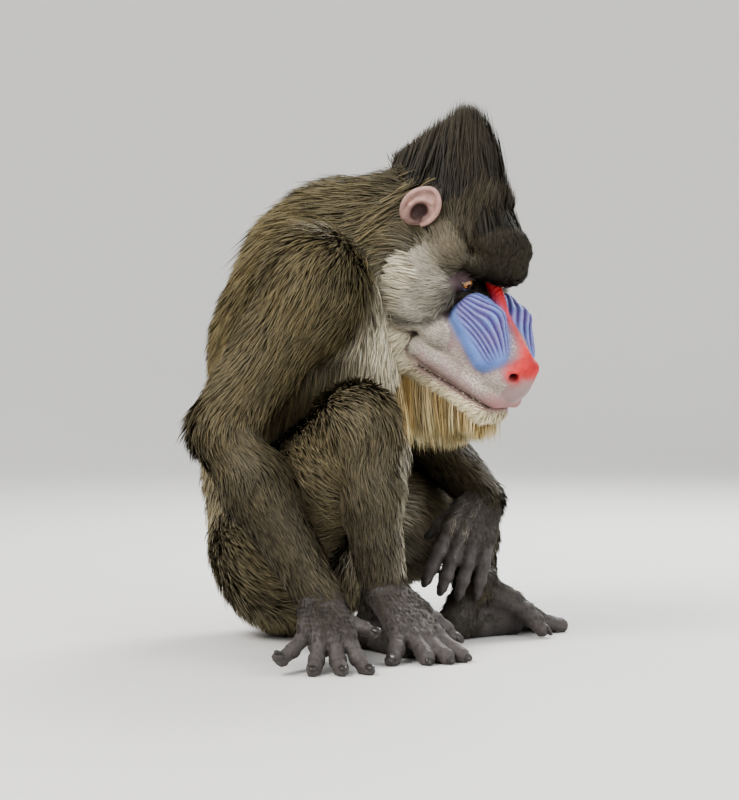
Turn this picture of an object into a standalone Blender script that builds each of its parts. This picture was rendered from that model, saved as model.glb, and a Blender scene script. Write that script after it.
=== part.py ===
"""A seated male mandrill, life size, as a still museum model.

Metres, +Z up. The animal sits on the floor at Z = 0 and faces -Y, so its right side is at -X.
Every part of the body is a blend of balls and tapered limbs. Their sizes below are those of the
bare body, and COAT is how far the coat stands off it in each region.
"""

import math
import random

import bmesh
import bpy
from mathutils import Matrix, Vector
from mathutils.bvhtree import BVHTree

# Joint clearance, mesh sizes and the depth that feet press into the floor
GAP = 0.0004
PRESS = 0.0012
BODY_VOXEL = 0.008
LIMB_VOXEL = 0.006
FACE_VOXEL = 0.0026
DIGIT_VOXEL = 0.0024

# How far the coat stands off the bare body
COAT = {
    "rump": 0.014, "belly": 0.017, "ribs": 0.022, "withers": 0.026, "chest": 0.018, "mane_core": 0.013,
    "crown": 0.011, "brow": 0.003, "face": 0.0015, "cheek": 0.012, "chin": 0.006,
    "shoulder": 0.016, "arm": 0.013, "forearm": 0.010, "wrist": 0.005,
    "thigh": 0.014, "shin": 0.009, "ankle": 0.005, "skin": 0.001, "tail": 0.006,
}

# The head is pitched down and turned a little to the right about the root of the neck
HEAD_ORIGIN = Vector((0.0, -0.187, 0.437))
HEAD_PITCH = math.radians(40.0)
HEAD_YAW = math.radians(-8.0)
NECK_PIVOT = Vector((0.0, -0.08, 0.0))
NAPE = -0.112
EYE_RADIUS = 0.0125
EYE_PLACE = (0.0335, 0.002, -0.012)
EAR_PLACE = (0.071, -0.074, 0.030)

# Joints of the limbs
SIDES = {"right": -1.0, "left": 1.0}
SHOULDER = {"right": Vector((-0.118, -0.025, 0.415)), "left": Vector((0.118, -0.025, 0.415))}
ELBOW = {"right": Vector((-0.200, 0.062, 0.257)), "left": Vector((0.196, 0.062, 0.285))}
WRIST = {"right": Vector((-0.205, -0.080, 0.072)), "left": Vector((0.100, -0.128, 0.166))}
HIP = {"right": Vector((-0.058, 0.062, 0.115)), "left": Vector((0.058, 0.062, 0.115))}
KNEE = {"right": Vector((-0.120, -0.078, 0.262)), "left": Vector((0.225, -0.030, 0.143))}
ANKLE = {"right": Vector((-0.092, -0.098, 0.072)), "left": Vector((0.078, -0.128, 0.064))}

# A digit: offset across and along the palm from the wrist, turn outwards from the middle of the
# palm, bend at each of its joints, lengths and radii of its bones. The thumb or great toe is first.
PHALANGES = {"finger": (0.029, 0.022, 0.015), "thumb": (0.020, 0.016, 0.013)}
FLAT_HAND = {
    "thumb": (0.016, 0.030, 48, (8, -14, 0), 0.0098),
    "index": (0.023, 0.071, 15, (12, 4, 0), 0.0096),
    "middle": (0.0075, 0.074, 2, (12, 4, 0), 0.0100),
    "ring": (-0.0085, 0.072, -12, (12, 4, 0), 0.0098),
    "little": (-0.023, 0.064, -36, (6, -16, -34), 0.0090),
}
HANGING_HAND = {
    "thumb": (0.020, 0.028, 34, (22, 12, 8), 0.0098),
    "index": (0.023, 0.070, 6, (30, 8, 8), 0.0096),
    "middle": (0.0075, 0.073, 1, (34, 8, 8), 0.0100),
    "ring": (-0.0085, 0.071, -5, (36, 10, 10), 0.0098),
    "little": (-0.023, 0.064, -12, (38, 12, 12), 0.0088),
}
FLAT_FOOT = {
    "great": (0.022, 0.046, 46, (14, 6, 6), 0.0125),
    "second": (0.020, 0.094, 11, (-4, 34, 22), 0.0105),
    "third": (0.005, 0.098, 3, (-4, 36, 22), 0.0108),
    "fourth": (-0.010, 0.094, -6, (-2, 34, 22), 0.0105),
    "fifth": (-0.024, 0.082, -30, (6, 22, 12), 0.0100),
}
CURLED_FOOT = {
    "great": (0.022, 0.046, 46, (14, 10, 8), 0.0125),
    "second": (0.020, 0.092, 8, (-8, 48, 42), 0.0105),
    "third": (0.005, 0.096, 2, (-10, 50, 44), 0.0108),
    "fourth": (-0.010, 0.092, -4, (-8, 50, 44), 0.0105),
    "fifth": (-0.024, 0.082, -10, (-4, 48, 40), 0.0100),
}

# Locks of long hair: rings along each, their breadth there, how deep the root is sunk, and the seed of
# the small differences between them
LOCK_SIDES = 5
LOCK_RINGS = ((0.0, 0.80), (0.34, 1.0), (0.70, 0.68))
LOCK_SINK = 0.007
LOCK_FLATNESS = 0.34
LOCK_SEED = 7
CREST_TIP = (0.0, -0.150, 0.126)
STEEPEST_LIE = 0.45

# Ridges of the cheeks: angles out from the nose, places along the muzzle, half width
RIDGE_ANGLES = (27, 43, 58, 74, 92)
RIDGE_STATIONS = (0.014, 0.036, 0.058, 0.080, 0.097)
RIDGE_SIZE = 0.0034


HAND_WIDTH = 0.5
WRIST_RADIUS = 0.0195
ANKLE_RADIUS = 0.0215
HAND_HEADING = 218.0
HAND_SLOPE = -32.0
FOOT_HEADING = {"right": 240.0, "left": -22.0}
FOOT_SLOPE = -30.0
HEEL_BACK = 0.036


def head_point(x, forward, height):
    """A point by the head's own measures: x to its left, forward along the muzzle, height over the eyes."""
    cos_p, sin_p = math.cos(HEAD_PITCH), math.sin(HEAD_PITCH)
    offset = Vector((x, -forward * cos_p - height * sin_p, -forward * sin_p + height * cos_p))
    return NECK_PIVOT + Matrix.Rotation(HEAD_YAW, 3, "Z") @ (HEAD_ORIGIN + offset - NECK_PIVOT)


def head_axes():
    """The head's own axes as the columns of a matrix: leftwards, forwards, upwards."""
    origin = head_point(0, 0, 0)
    return Matrix([head_point(*unit) - origin for unit in ((1, 0, 0), (0, 1, 0), (0, 0, 1))]).transposed()


def heading(degrees, lift=0.0):
    """A unit direction at this angle about +Z from +X, lifted above the floor by the second angle."""
    around, up = math.radians(degrees), math.radians(lift)
    return Vector((math.cos(around) * math.cos(up), math.sin(around) * math.cos(up), math.sin(up)))


# Shapes that the flesh is blended from

def ball(centre, radii, coat, axes=None):
    return "ball", centre, [radius + COAT[coat] for radius in radii], axes


def limb(start, start_radius, end, end_radius, coat, end_coat=None):
    return "limb", start, start_radius + COAT[coat], end, end_radius + COAT[end_coat or coat]


def trunk_shapes():
    """The rump, belly, ribs, withers, breast and neck."""
    return [
        ball(Vector((0, 0.074, 0.094)), (0.106, 0.084, 0.087), "rump"),
        ball(Vector((0, 0.072, 0.200)), (0.103, 0.103, 0.110), "belly"),
        ball(Vector((0, 0.045, 0.340)), (0.113, 0.121, 0.130), "ribs"),
        limb(Vector((0, 0.078, 0.130)), 0.086, Vector((0, 0.076, 0.250)), 0.092, "belly"),
        limb(Vector((0, 0.070, 0.270)), 0.094, Vector((0, 0.024, 0.408)), 0.101, "ribs"),
        ball(Vector((0, 0.004, 0.435)), (0.116, 0.093, 0.087), "withers"),
        ball(Vector((0, -0.050, 0.360)), (0.082, 0.057, 0.087), "chest"),
        limb(Vector((0, -0.010, 0.462)), 0.074, head_point(0, -0.095, -0.020), 0.068, "mane_core"),
    ]


def head_shapes():
    """The skull, brow, lids, cheeks and upper jaw."""
    axes = head_axes()

    def lump(x, forward, height, radii, coat):
        return ball(head_point(x, forward, height), radii, coat, axes)

    def bar(start, start_radius, end, end_radius, coat):
        return limb(head_point(*start), start_radius, head_point(*end), end_radius, coat)

    shapes = [
        lump(0, -0.068, 0.014, (0.058, 0.072, 0.050), "crown"),
        lump(0, -0.075, 0.050, (0.034, 0.056, 0.030), "crown"),
        lump(0, 0.023, 0.020, (0.026, 0.013, 0.015), "brow"),
        lump(0, 0.000, 0.027, (0.043, 0.029, 0.023), "brow"),
        lump(0, 0.048, -0.056, (0.038, 0.072, 0.038), "face"),
        lump(0, 0.100, -0.066, (0.032, 0.024, 0.028), "face"),
        bar((0, 0.018, -0.002), 0.0115, (0, 0.108, -0.041), 0.0105, "face"),
        lump(0, 0.117, -0.047, (0.021, 0.013, 0.012), "face"),
        bar((-0.018, 0.098, -0.090), 0.0105, (0.018, 0.098, -0.090), 0.0105, "face"),
    ]
    for side in SIDES.values():
        eye_x, eye_forward, eye_height = EYE_PLACE
        eye_x *= side
        shapes += [
            bar((0, 0.019, 0.019), 0.0135, (side * 0.037, 0.008, 0.012), 0.0110, "brow"),
            lump(side * 0.046, -0.025, -0.032, (0.020, 0.038, 0.029), "face"),
            lump(side * 0.043, -0.028, -0.064, (0.023, 0.036, 0.040), "face"),
            bar((side * 0.028, 0.029, -0.027), 0.0160, (side * 0.027, 0.087, -0.051), 0.0135, "face"),
            bar((side * 0.031, 0.030, -0.044), 0.0170, (side * 0.029, 0.080, -0.062), 0.0140, "face"),
            bar((side * 0.035, 0.006, -0.090), 0.0120, (side * 0.018, 0.098, -0.090), 0.0105, "face"),
            lump(side * 0.0135, 0.117, -0.052, (0.0095, 0.011, 0.010), "face"),
        ]
        for lift, reach in ((0.0095, 0.0095), (-0.0095, 0.0075)):
            lid = (eye_x, eye_forward + reach, eye_height + lift)
            for corner in (-0.0125, 0.0125):
                end = (eye_x + corner, eye_forward + 0.004, eye_height)
                shapes.append(bar(lid, 0.0030, end, 0.0025, "skin"))
    return shapes


def jaw_shapes():
    """The lower jaw, from its angles under the ears to the chin, with the lower lip."""
    shapes = [ball(head_point(0, 0.045, -0.114), (0.030, 0.062, 0.018), "face", head_axes())]
    for side in SIDES.values():
        corner = head_point(side * 0.036, 0.006, -0.112)
        shapes += [
            limb(head_point(side * 0.040, -0.034, -0.098), 0.018, corner, 0.0125, "face"),
            limb(corner, 0.0125, head_point(side * 0.018, 0.095, -0.108), 0.0105, "face"),
        ]
    shapes.append(limb(head_point(-0.018, 0.095, -0.108), 0.0105, head_point(0.018, 0.095, -0.108), 0.0105, "face"))
    return shapes


def beard_core():
    return [
        limb(head_point(0, 0.022, -0.130), 0.028, head_point(0, 0.090, -0.127), 0.016, "skin"),
        limb(head_point(0, 0.026, -0.140), 0.024, head_point(0, 0.046, -0.168), 0.012, "skin"),
    ]


def crest_core():
    return [
        limb(head_point(0, -0.044, 0.052), 0.032, head_point(0, -0.122, 0.098), 0.011, "skin"),
        limb(head_point(0, -0.096, 0.030), 0.052, head_point(0, -0.130, 0.078), 0.022, "skin"),
    ]


def ruff_core(side):
    across = SIDES[side]
    return [limb(head_point(across * 0.047, -0.034, -0.062), 0.033,
                 head_point(across * 0.057, -0.084, -0.072), 0.020, "skin")]


# Where the locks grow: each row gives a point inside the core, the way out to the skin, the way that
# the hair lies there, the lock's length and breadth, how far its tip stands off, and how it bends

def mane_rows():
    """Rings of locks round the top and sides of the neck, which lie back over the withers and shoulders."""
    back, front = Vector((0, -0.004, 0.458)), head_point(0, -0.092, -0.015)
    axis = (back - front).normalized()
    side = Vector((1, 0, 0))
    up = side.cross(axis).normalized()
    if up.z < 0:
        up = -up
    rings = ((0.46, 0.85, 5, 58), (0.44, 0.0, 7, 104), (0.84, 0.0, 6, 100))
    for along, leaning, count, spread in rings:
        for k in range(count):
            angle = math.radians(spread * (2 * k / (count - 1) - 1))
            rising, outward = math.cos(angle), math.sin(angle)
            out = up * rising + side * outward + axis * leaning
            lie = axis + side * outward * 0.70 + Vector((0, 0, 0.16 - 0.42 * abs(outward)))
            yield back.lerp(front, along), out, lie, 0.080, 0.0190, 0.025, Vector((0, 0, -0.06))


def crest_rows():
    """Tiers of locks from the forehead to the nape that sweep up and back to the crest's peak."""
    low, high = head_point(0, -0.030, 0.034), head_point(0, -0.112, 0.054)
    axes = head_axes()
    left, forward, up = axes.col[0], axes.col[1], axes.col[2]
    peak = head_point(*CREST_TIP)
    nape = head_point(0, -0.172, 0.082)
    tiers = ((0.0, 0.066, 4, 42, peak), (0.42, 0.070, 5, 68, peak), (0.80, 0.075, 5, 78, peak),
             (1.0, 0.075, 4, 96, nape))
    for along, length, count, spread, aim in tiers:
        centre = low.lerp(high, along)
        for k in range(count):
            angle = math.radians(spread * (2 * k / (count - 1) - 1))
            out = up * math.cos(angle) + left * math.sin(angle) + forward * (0.35 - 0.75 * along)
            yield centre, out, None, length, 0.0170, 0.003, aim


def ruff_rows(side):
    """Locks of the cheek, which sweep back and a little down beside the neck."""
    across = SIDES[side]
    axes = head_axes()
    left, forward, up = axes.col[0] * across, axes.col[1], axes.col[2]
    front, back = head_point(across * 0.044, -0.028, -0.062), head_point(across * 0.052, -0.072, -0.070)
    for along in (0.0, 0.8):
        for k in range(4):
            angle = math.radians(-66 + 132 * k / 3)
            out = left * math.cos(angle) + up * math.sin(angle)
            lie = -forward + left * 0.30 - up * (0.28 - 0.25 * math.sin(angle))
            yield front.lerp(back, along), out, lie, 0.058, 0.0145, 0.008, -left * 0.12


def beard_rows():
    """Locks that hang from the chin and throat, longer towards the throat."""
    axes = head_axes()
    left, up = axes.col[0], axes.col[2]
    throat, chin = head_point(0, 0.016, -0.128), head_point(0, 0.094, -0.125)
    for along, length, count in ((0.0, 0.080, 4), (0.42, 0.074, 4), (0.90, 0.042, 4)):
        for k in range(count):
            angle = math.radians(-62 + 124 * k / (count - 1))
            out = left * math.sin(angle) - up * math.cos(angle)
            lie = Vector((0, 0.22, -1)) - out * 0.15
            yield throat.lerp(chin, along), out, lie, length, 0.0145, 0.004, Vector((0, 0.06, 0))


def cheek_ridges():
    """The long ridges of the swellings beside the nose: each is a line of rays from inside the muzzle."""
    axes = head_axes()
    left, up = axes.col[0], axes.col[2]
    for side in SIDES.values():
        for angle in RIDGE_ANGLES:
            turn = math.radians(angle)
            out = up * math.cos(turn) + left * side * math.sin(turn)
            yield [(head_point(side * 0.006, forward, -0.052), out) for forward in RIDGE_STATIONS]


def arm_shapes(side):
    """The shoulder, upper arm and forearm."""
    shoulder, elbow, wrist = SHOULDER[side], ELBOW[side], WRIST[side]
    muscle = elbow.lerp(wrist, 0.35)
    return [
        ball(shoulder, (0.046, 0.056, 0.064), "shoulder"),
        limb(shoulder, 0.044, elbow, 0.034, "shoulder", "arm"),
        limb(elbow, 0.034, muscle, 0.035, "arm", "forearm"),
        limb(muscle, 0.035, wrist, 0.0205, "forearm", "wrist"),
    ]


def leg_shapes(side):
    """The thigh and shin."""
    hip, knee, ankle = HIP[side], KNEE[side], ANKLE[side]
    middle, calf = hip.lerp(knee, 0.5), knee.lerp(ankle, 0.4)
    return [
        limb(hip, 0.074, middle, 0.063, "thigh"),
        limb(middle, 0.063, knee, 0.040, "thigh"),
        limb(knee, 0.038, calf, 0.034, "thigh", "shin"),
        limb(calf, 0.034, ankle, 0.0225, "shin", "ankle"),
    ]


def settled(point, radius):
    """The point lifted so that flesh of this radius only presses on the floor."""
    return Vector((point.x, point.y, max(point.z, radius - PRESS)))


def digit_shapes(base, ahead, dorsal, bends, lengths, radius):
    """The bones of one digit, each bent towards the palm from the one before."""
    across = ahead.cross(dorsal).normalized()
    shapes = []
    start, start_radius = settled(base, radius), radius
    for number, (bend, length) in enumerate(zip(bends, lengths)):
        ahead = Matrix.Rotation(-math.radians(bend), 3, across) @ ahead
        end_radius = radius * (0.92, 0.84, 0.68)[number]
        end = settled(start + ahead * length, end_radius)
        shapes.append(limb(start, start_radius, end, end_radius, "skin"))
        start, start_radius = end, end_radius
    return shapes


def paw_shapes(root, root_radius, ahead, dorsal, inner, digits):
    """A palm of bones side by side with their digits. inner is 1 where the thumb lies to the left of ahead."""
    left = dorsal.cross(ahead).normalized() * inner
    shapes = []
    for name, (across, along, turn, bends, radius) in digits.items():
        outward = Matrix.Rotation(math.radians(turn) * inner, 3, dorsal)
        knuckle = root + left * across + ahead * along
        start = root + left * across * HAND_WIDTH
        kind = "thumb" if name in ("thumb", "great") else "finger"
        shapes.append(limb(start, root_radius * 0.62, settled(knuckle, radius * 1.12), radius * 1.12, "skin"))
        shapes += digit_shapes(knuckle, outward @ ahead, dorsal, bends, PHALANGES[kind], radius)
    return shapes


def hand_shapes(side):
    wrist = WRIST[side]
    if side == "right":
        ahead = heading(HAND_HEADING, HAND_SLOPE)
        dorsal = heading(HAND_HEADING, HAND_SLOPE + 90)
        shapes = paw_shapes(wrist, WRIST_RADIUS, ahead, dorsal, 1, FLAT_HAND)
        heel = settled(wrist + heading(HAND_HEADING) * 0.020 + Vector((0, 0, -0.046)), 0.017)
        knuckles = settled(wrist + ahead * 0.066, 0.012)
        shapes.append(limb(wrist, 0.0190, heel, 0.0150, "skin"))
        shapes.append(limb(heel, 0.0160, knuckles, 0.0120, "skin"))
        return shapes
    ahead = Vector((-0.786, -0.100, -0.600)).normalized()
    dorsal = Vector((-0.70, -0.48, 0.53))
    dorsal = (dorsal - ahead * dorsal.dot(ahead)).normalized()
    shapes = paw_shapes(wrist, WRIST_RADIUS, ahead, dorsal, -1, HANGING_HAND)
    shapes.append(limb(wrist + ahead * 0.018, 0.0165, wrist + ahead * 0.060 - dorsal * 0.004, 0.0135, "skin"))
    return shapes


def foot_shapes(side):
    ankle, way = ANKLE[side], FOOT_HEADING[side]
    ahead, dorsal = heading(way, FOOT_SLOPE), heading(way, FOOT_SLOPE + 90)
    inner = -SIDES[side]
    digits = FLAT_FOOT if side == "right" else CURLED_FOOT
    shapes = paw_shapes(ankle, ANKLE_RADIUS, ahead, dorsal, inner, digits)
    heel = settled(ankle - heading(way) * HEEL_BACK + Vector((0, 0, -0.054)), 0.019)
    sole = settled(ankle + heading(way) * 0.052 + Vector((0, 0, -0.058)), 0.016)
    shapes += [
        limb(ankle, 0.0215, heel, 0.0180, "skin"),
        limb(heel, 0.0180, sole, 0.0170, "skin"),
        limb(ankle, 0.0220, sole, 0.0170, "skin"),
    ]
    return shapes


def tail_shapes():
    return [limb(Vector((0, 0.150, 0.118)), 0.012, Vector((0.004, 0.196, 0.162)), 0.006, "tail")]


# Scene and mesh helpers

def clear_scene():
    for obj in list(bpy.data.objects):
        bpy.data.objects.remove(obj, do_unlink=True)


def collection(name):
    made = bpy.data.collections.new(name)
    bpy.context.scene.collection.children.link(made)
    return made


def material(name, colour, roughness):
    made = bpy.data.materials.new(name)
    made.use_nodes = True
    shader = made.node_tree.nodes["Principled BSDF"]
    shader.inputs["Base Color"].default_value = (*colour, 1.0)
    shader.inputs["Roughness"].default_value = roughness
    return made


def as_tool(obj):
    obj.hide_render = True
    obj.display_type = "WIRE"
    return obj


def object_of(name, bm, where):
    mesh = bpy.data.meshes.new(name)
    bm.to_mesh(mesh)
    bm.free()
    obj = bpy.data.objects.new(name, mesh)
    where.objects.link(obj)
    return obj


def add_shape(bm, shape):
    """A ball with radii along its axes, or a tapered limb with round ends."""
    if shape[0] == "ball":
        _, centre, radii, axes = shape
        turn = (axes or Matrix.Identity(3)).to_4x4()
        place = Matrix.Translation(centre) @ turn @ Matrix.Diagonal((*radii, 1.0))
        bmesh.ops.create_icosphere(bm, subdivisions=3, radius=1.0, matrix=place)
        return
    _, start, start_radius, end, end_radius = shape
    for centre, radius in ((start, start_radius), (end, end_radius)):
        bmesh.ops.create_icosphere(bm, subdivisions=3, radius=radius, matrix=Matrix.Translation(centre))
    run = end - start
    place = Matrix.Translation((start + end) / 2) @ run.to_track_quat("Z", "Y").to_matrix().to_4x4()
    bmesh.ops.create_cone(bm, cap_ends=True, segments=20, radius1=start_radius, radius2=end_radius,
                          depth=run.length, matrix=place)


def evaluated(obj):
    """Applies the object's modifiers."""
    graph = bpy.context.evaluated_depsgraph_get()
    mesh = bpy.data.meshes.new_from_object(obj.evaluated_get(graph))
    obj.modifiers.clear()
    obj.data = mesh
    return obj


def blended(name, shapes, where, voxel, smoothing, triangles):
    """One closed form: the shapes fused, creases smoothed, then thinned to about this many triangles."""
    bm = bmesh.new()
    for shape in shapes:
        add_shape(bm, shape)
    obj = object_of(name, bm, where)
    fuse = obj.modifiers.new("Fuse", "REMESH")
    fuse.mode = "VOXEL"
    fuse.voxel_size = voxel
    soften = obj.modifiers.new("Soften", "SMOOTH")
    soften.factor = 0.5
    soften.iterations = smoothing
    evaluated(obj)
    thin = obj.modifiers.new("Thin", "DECIMATE")
    thin.ratio = min(1.0, triangles / (2 * len(obj.data.polygons)))
    thin.use_collapse_triangulate = True
    return evaluated(obj)


def boolean(obj, operation, operands):
    """Cuts or joins the operands, one after another."""
    for operand in operands:
        step = obj.modifiers.new(operation.title(), "BOOLEAN")
        step.operation = operation
        step.object = operand
        step.solver = "MANIFOLD"
    return evaluated(obj)


def discard(objects):
    for obj in objects:
        bpy.data.objects.remove(obj, do_unlink=True)


def lock_object(root, normal, lie, length, breadth, stand, bend, where):
    """A flat lock: five-sided rings that taper and bend from a sunk root to one tip."""
    lie = lie.normalized()
    if lie.dot(normal) > STEEPEST_LIE:
        normal = (normal - lie * normal.dot(lie)).normalized()
    else:
        lie = (lie - normal * lie.dot(normal)).normalized()
    across = lie.cross(normal).normalized()

    def centre(t):
        rise = normal * (stand * t - LOCK_SINK * (1 - t) ** 2)
        return root + lie * (length * t - LOCK_SINK * (1 - t)) + rise + bend * length * t * t

    bm = bmesh.new()
    rings = []
    for t, taper in LOCK_RINGS:
        ring = []
        for k in range(LOCK_SIDES):
            angle = math.tau * k / LOCK_SIDES + math.pi / 2
            offset = across * math.cos(angle) + normal * math.sin(angle) * LOCK_FLATNESS
            ring.append(bm.verts.new(centre(t) + offset * breadth * taper))
        rings.append(ring)
    tip = bm.verts.new(centre(1.0))
    for lower, upper in zip(rings, rings[1:]):
        for k in range(LOCK_SIDES):
            n = (k + 1) % LOCK_SIDES
            bm.faces.new((lower[k], lower[n], upper[n], upper[k]))
    for k in range(LOCK_SIDES):
        bm.faces.new((rings[-1][k], rings[-1][(k + 1) % LOCK_SIDES], tip))
    bm.faces.new(list(reversed(rings[0])))
    bmesh.ops.recalc_face_normals(bm, faces=bm.faces)
    bmesh.ops.triangulate(bm, faces=bm.faces)
    return as_tool(object_of("lock", bm, where))


def surface_of(obj):
    return BVHTree.FromPolygons([v.co for v in obj.data.vertices], [p.vertices for p in obj.data.polygons])


def fused(core, where):
    """The core joined with every object of the collection, which is then emptied and removed."""
    fuse = core.modifiers.new("Fused", "BOOLEAN")
    fuse.operation = "UNION"
    fuse.operand_type = "COLLECTION"
    fuse.collection = where
    fuse.solver = "MANIFOLD"
    evaluated(core)
    discard(list(where.objects))
    bpy.data.collections.remove(where)
    return keep_largest(core)


def with_ridges(head, where):
    """The head with a low ridge along each line of rays, highest in its middle."""
    tree = surface_of(head)
    for line in cheek_ridges():
        points = [tree.ray_cast(inside, out)[0] for inside, out in line]
        out = line[0][1]
        bm = bmesh.new()
        rings = []
        for before, point, after in zip(points, points[1:], points[2:]):
            along = (after - before).normalized()
            across = along.cross(out).normalized()
            normal = across.cross(along).normalized()
            corners = (across, normal, -across, -normal)
            rings.append([bm.verts.new(point + corner * RIDGE_SIZE) for corner in corners])
        ends = bm.verts.new(points[0] - out * 0.001), bm.verts.new(points[-1] - out * 0.001)
        for lower, upper in zip(rings, rings[1:]):
            for k in range(4):
                n = (k + 1) % 4
                bm.faces.new((lower[k], lower[n], upper[n], upper[k]))
        for ring, end in ((rings[0], ends[0]), (rings[-1], ends[1])):
            for k in range(4):
                bm.faces.new((ring[k], ring[(k + 1) % 4], end))
        bmesh.ops.recalc_face_normals(bm, faces=bm.faces)
        bmesh.ops.triangulate(bm, faces=bm.faces)
        as_tool(object_of("ridge", bm, where))
    return fused(head, where)


def with_locks(core, rows):
    """The core fused with the locks that its rows describe, each rooted where its ray meets the core."""
    chance = random.Random(LOCK_SEED)
    where = collection("locks")
    tree = surface_of(core)
    for inside, out, lie, length, breadth, stand, bend in rows:
        root, normal = tree.ray_cast(inside, out.normalized())[:2]
        if root is None:
            continue
        length *= chance.uniform(0.88, 1.12)
        if lie is None:
            # The last value is then the point that the lock's tip doesn't pass
            lie, bend = bend - root, Vector((0, 0, 0))
            length = min(length, lie.length)
        normal = (normal + out.normalized()).normalized()
        sway = normal.cross(lie) * chance.uniform(-0.12, 0.12)
        lock_object(root, normal, lie + sway, length, breadth * chance.uniform(0.9, 1.15),
                    stand * chance.uniform(0.6, 1.5), bend, where)
    return fused(core, where)


def grown(obj, where):
    """A copy that stands outside the object by the gap."""
    copy = bpy.data.objects.new(obj.name + "_room", obj.data.copy())
    where.objects.link(copy)
    swell = copy.modifiers.new("Room", "DISPLACE")
    swell.mid_level = 0.0
    swell.strength = GAP
    return as_tool(evaluated(copy))


def half_space(centre, normal, where, size=0.9):
    """A big box whose near face passes through the centre, on the side that the normal points to."""
    turn = normal.to_track_quat("Z", "Y").to_matrix().to_4x4()
    bm = bmesh.new()
    bmesh.ops.create_cube(bm, size=size, matrix=Matrix.Translation(centre + normal * (size / 2)) @ turn)
    return as_tool(object_of("knife", bm, where))


def keep_largest(obj):
    """Drops every closed surface of the object but the one that holds the most."""
    bm = bmesh.new()
    bm.from_mesh(obj.data)
    bmesh.ops.triangulate(bm, faces=bm.faces)
    unseen = set(bm.faces)
    shells = []
    while unseen:
        stack = [unseen.pop()]
        shell = list(stack)
        while stack:
            for edge in stack.pop().edges:
                for face in edge.link_faces:
                    if face in unseen:
                        unseen.remove(face)
                        stack.append(face)
                        shell.append(face)
        shells.append(shell)
    if len(shells) > 1:
        held = [sum(f.calc_center_median().dot(f.normal) * f.calc_area() for f in shell) for shell in shells]
        best = held.index(max(held))
        drop = [face for i, shell in enumerate(shells) if i != best for face in shell]
        bmesh.ops.delete(bm, geom=drop, context="FACES")
        bmesh.ops.delete(bm, geom=[v for v in bm.verts if not v.link_faces], context="VERTS")
    bm.to_mesh(obj.data)
    bm.free()
    return obj


def bounds_of(obj):
    points = [vertex.co for vertex in obj.data.vertices]
    return [(min(p[k] for p in points), max(p[k] for p in points)) for k in range(3)]


def clear_of(obj, neighbours, tools):
    """Cuts the object back from those of the neighbours that it meets, with the gap between."""
    box = bounds_of(obj)
    near = []
    for neighbour in neighbours:
        other = bounds_of(neighbour)
        if all(box[k][0] < other[k][1] + GAP and other[k][0] < box[k][1] + GAP for k in range(3)):
            near.append(neighbour)
    rooms = [grown(neighbour, tools) for neighbour in near]
    boolean(obj, "DIFFERENCE", [*near, *rooms])
    discard(rooms)
    return keep_largest(obj)


def on_floor(obj, tools):
    floor = half_space(Vector((0, 0, 0)), Vector((0, 0, -1)), tools)
    boolean(obj, "DIFFERENCE", [floor])
    discard([floor])
    return keep_largest(obj)


def parted(whole, name, planes, where, tools):
    """The piece of the whole behind every (centre, normal) plane, half a gap short of each."""
    piece = bpy.data.objects.new(name, whole.data.copy())
    where.objects.link(piece)
    knives = [half_space(centre - normal * (GAP / 2), normal, tools) for centre, normal in planes]
    boolean(piece, "DIFFERENCE", knives)
    discard(knives)
    return keep_largest(piece)


# The nodes

def build_trunk(model, tools):
    whole = on_floor(blended("trunk", trunk_shapes(), tools, BODY_VOXEL, 14, 1500), tools)
    waist = Vector((0, 0.07, 0.150)), Vector((0, 0.10, 1.0)).normalized()
    last_rib = Vector((0, 0.06, 0.275)), Vector((0, -0.15, 1.0)).normalized()
    neck_root = Vector((0, -0.045, 0.465)), Vector((0, -0.80, 0.60)).normalized()
    nape = head_point(0, NAPE, 0), head_axes().col[1]

    def other_side(plane):
        return plane[0], -plane[1]

    parted(whole, "rump", [waist], model, tools)
    parted(whole, "belly", [other_side(waist), last_rib], model, tools)
    parted(whole, "chest", [other_side(last_rib), neck_root], model, tools)
    neck = parted(whole, "neck", [other_side(neck_root), nape], tools, tools)
    discard([whole])
    return as_tool(neck)


def nostril_cutters(tools):
    """Two hollows that run back and inwards from the front of the nose."""
    cutters = []
    for side in SIDES.values():
        bm = bmesh.new()
        mouth, end = head_point(side * 0.0150, 0.131, -0.060), head_point(side * 0.0095, 0.112, -0.051)
        run = end - mouth
        turn = run.to_track_quat("Z", "Y").to_matrix().to_4x4()
        bmesh.ops.create_cone(bm, cap_ends=True, segments=10, radius1=0.0062, radius2=0.0035, depth=run.length,
                              matrix=Matrix.Translation((mouth + end) / 2) @ turn)
        cutters.append(as_tool(object_of("nostril", bm, tools)))
    return cutters


def build_head(model, tools):
    eyes = []
    for side, across in SIDES.items():
        bm = bmesh.new()
        x, forward, height = EYE_PLACE
        place = Matrix.Translation(head_point(across * x, forward, height))
        bmesh.ops.create_uvsphere(bm, u_segments=14, v_segments=9, radius=EYE_RADIUS, matrix=place)
        eyes.append(object_of(f"eye_{side}", bm, model))
    head = blended("head", head_shapes(), model, FACE_VOXEL, 4, 1080)
    with_ridges(head, collection("ridges"))
    knife = half_space(head_point(0, NAPE + GAP, 0), -head_axes().col[1], tools)
    nostrils = nostril_cutters(tools)
    boolean(head, "DIFFERENCE", [knife, *nostrils])
    discard([knife, *nostrils])
    chest = model.objects["chest"]
    clear_of(head, [*eyes, chest], tools)


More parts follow.
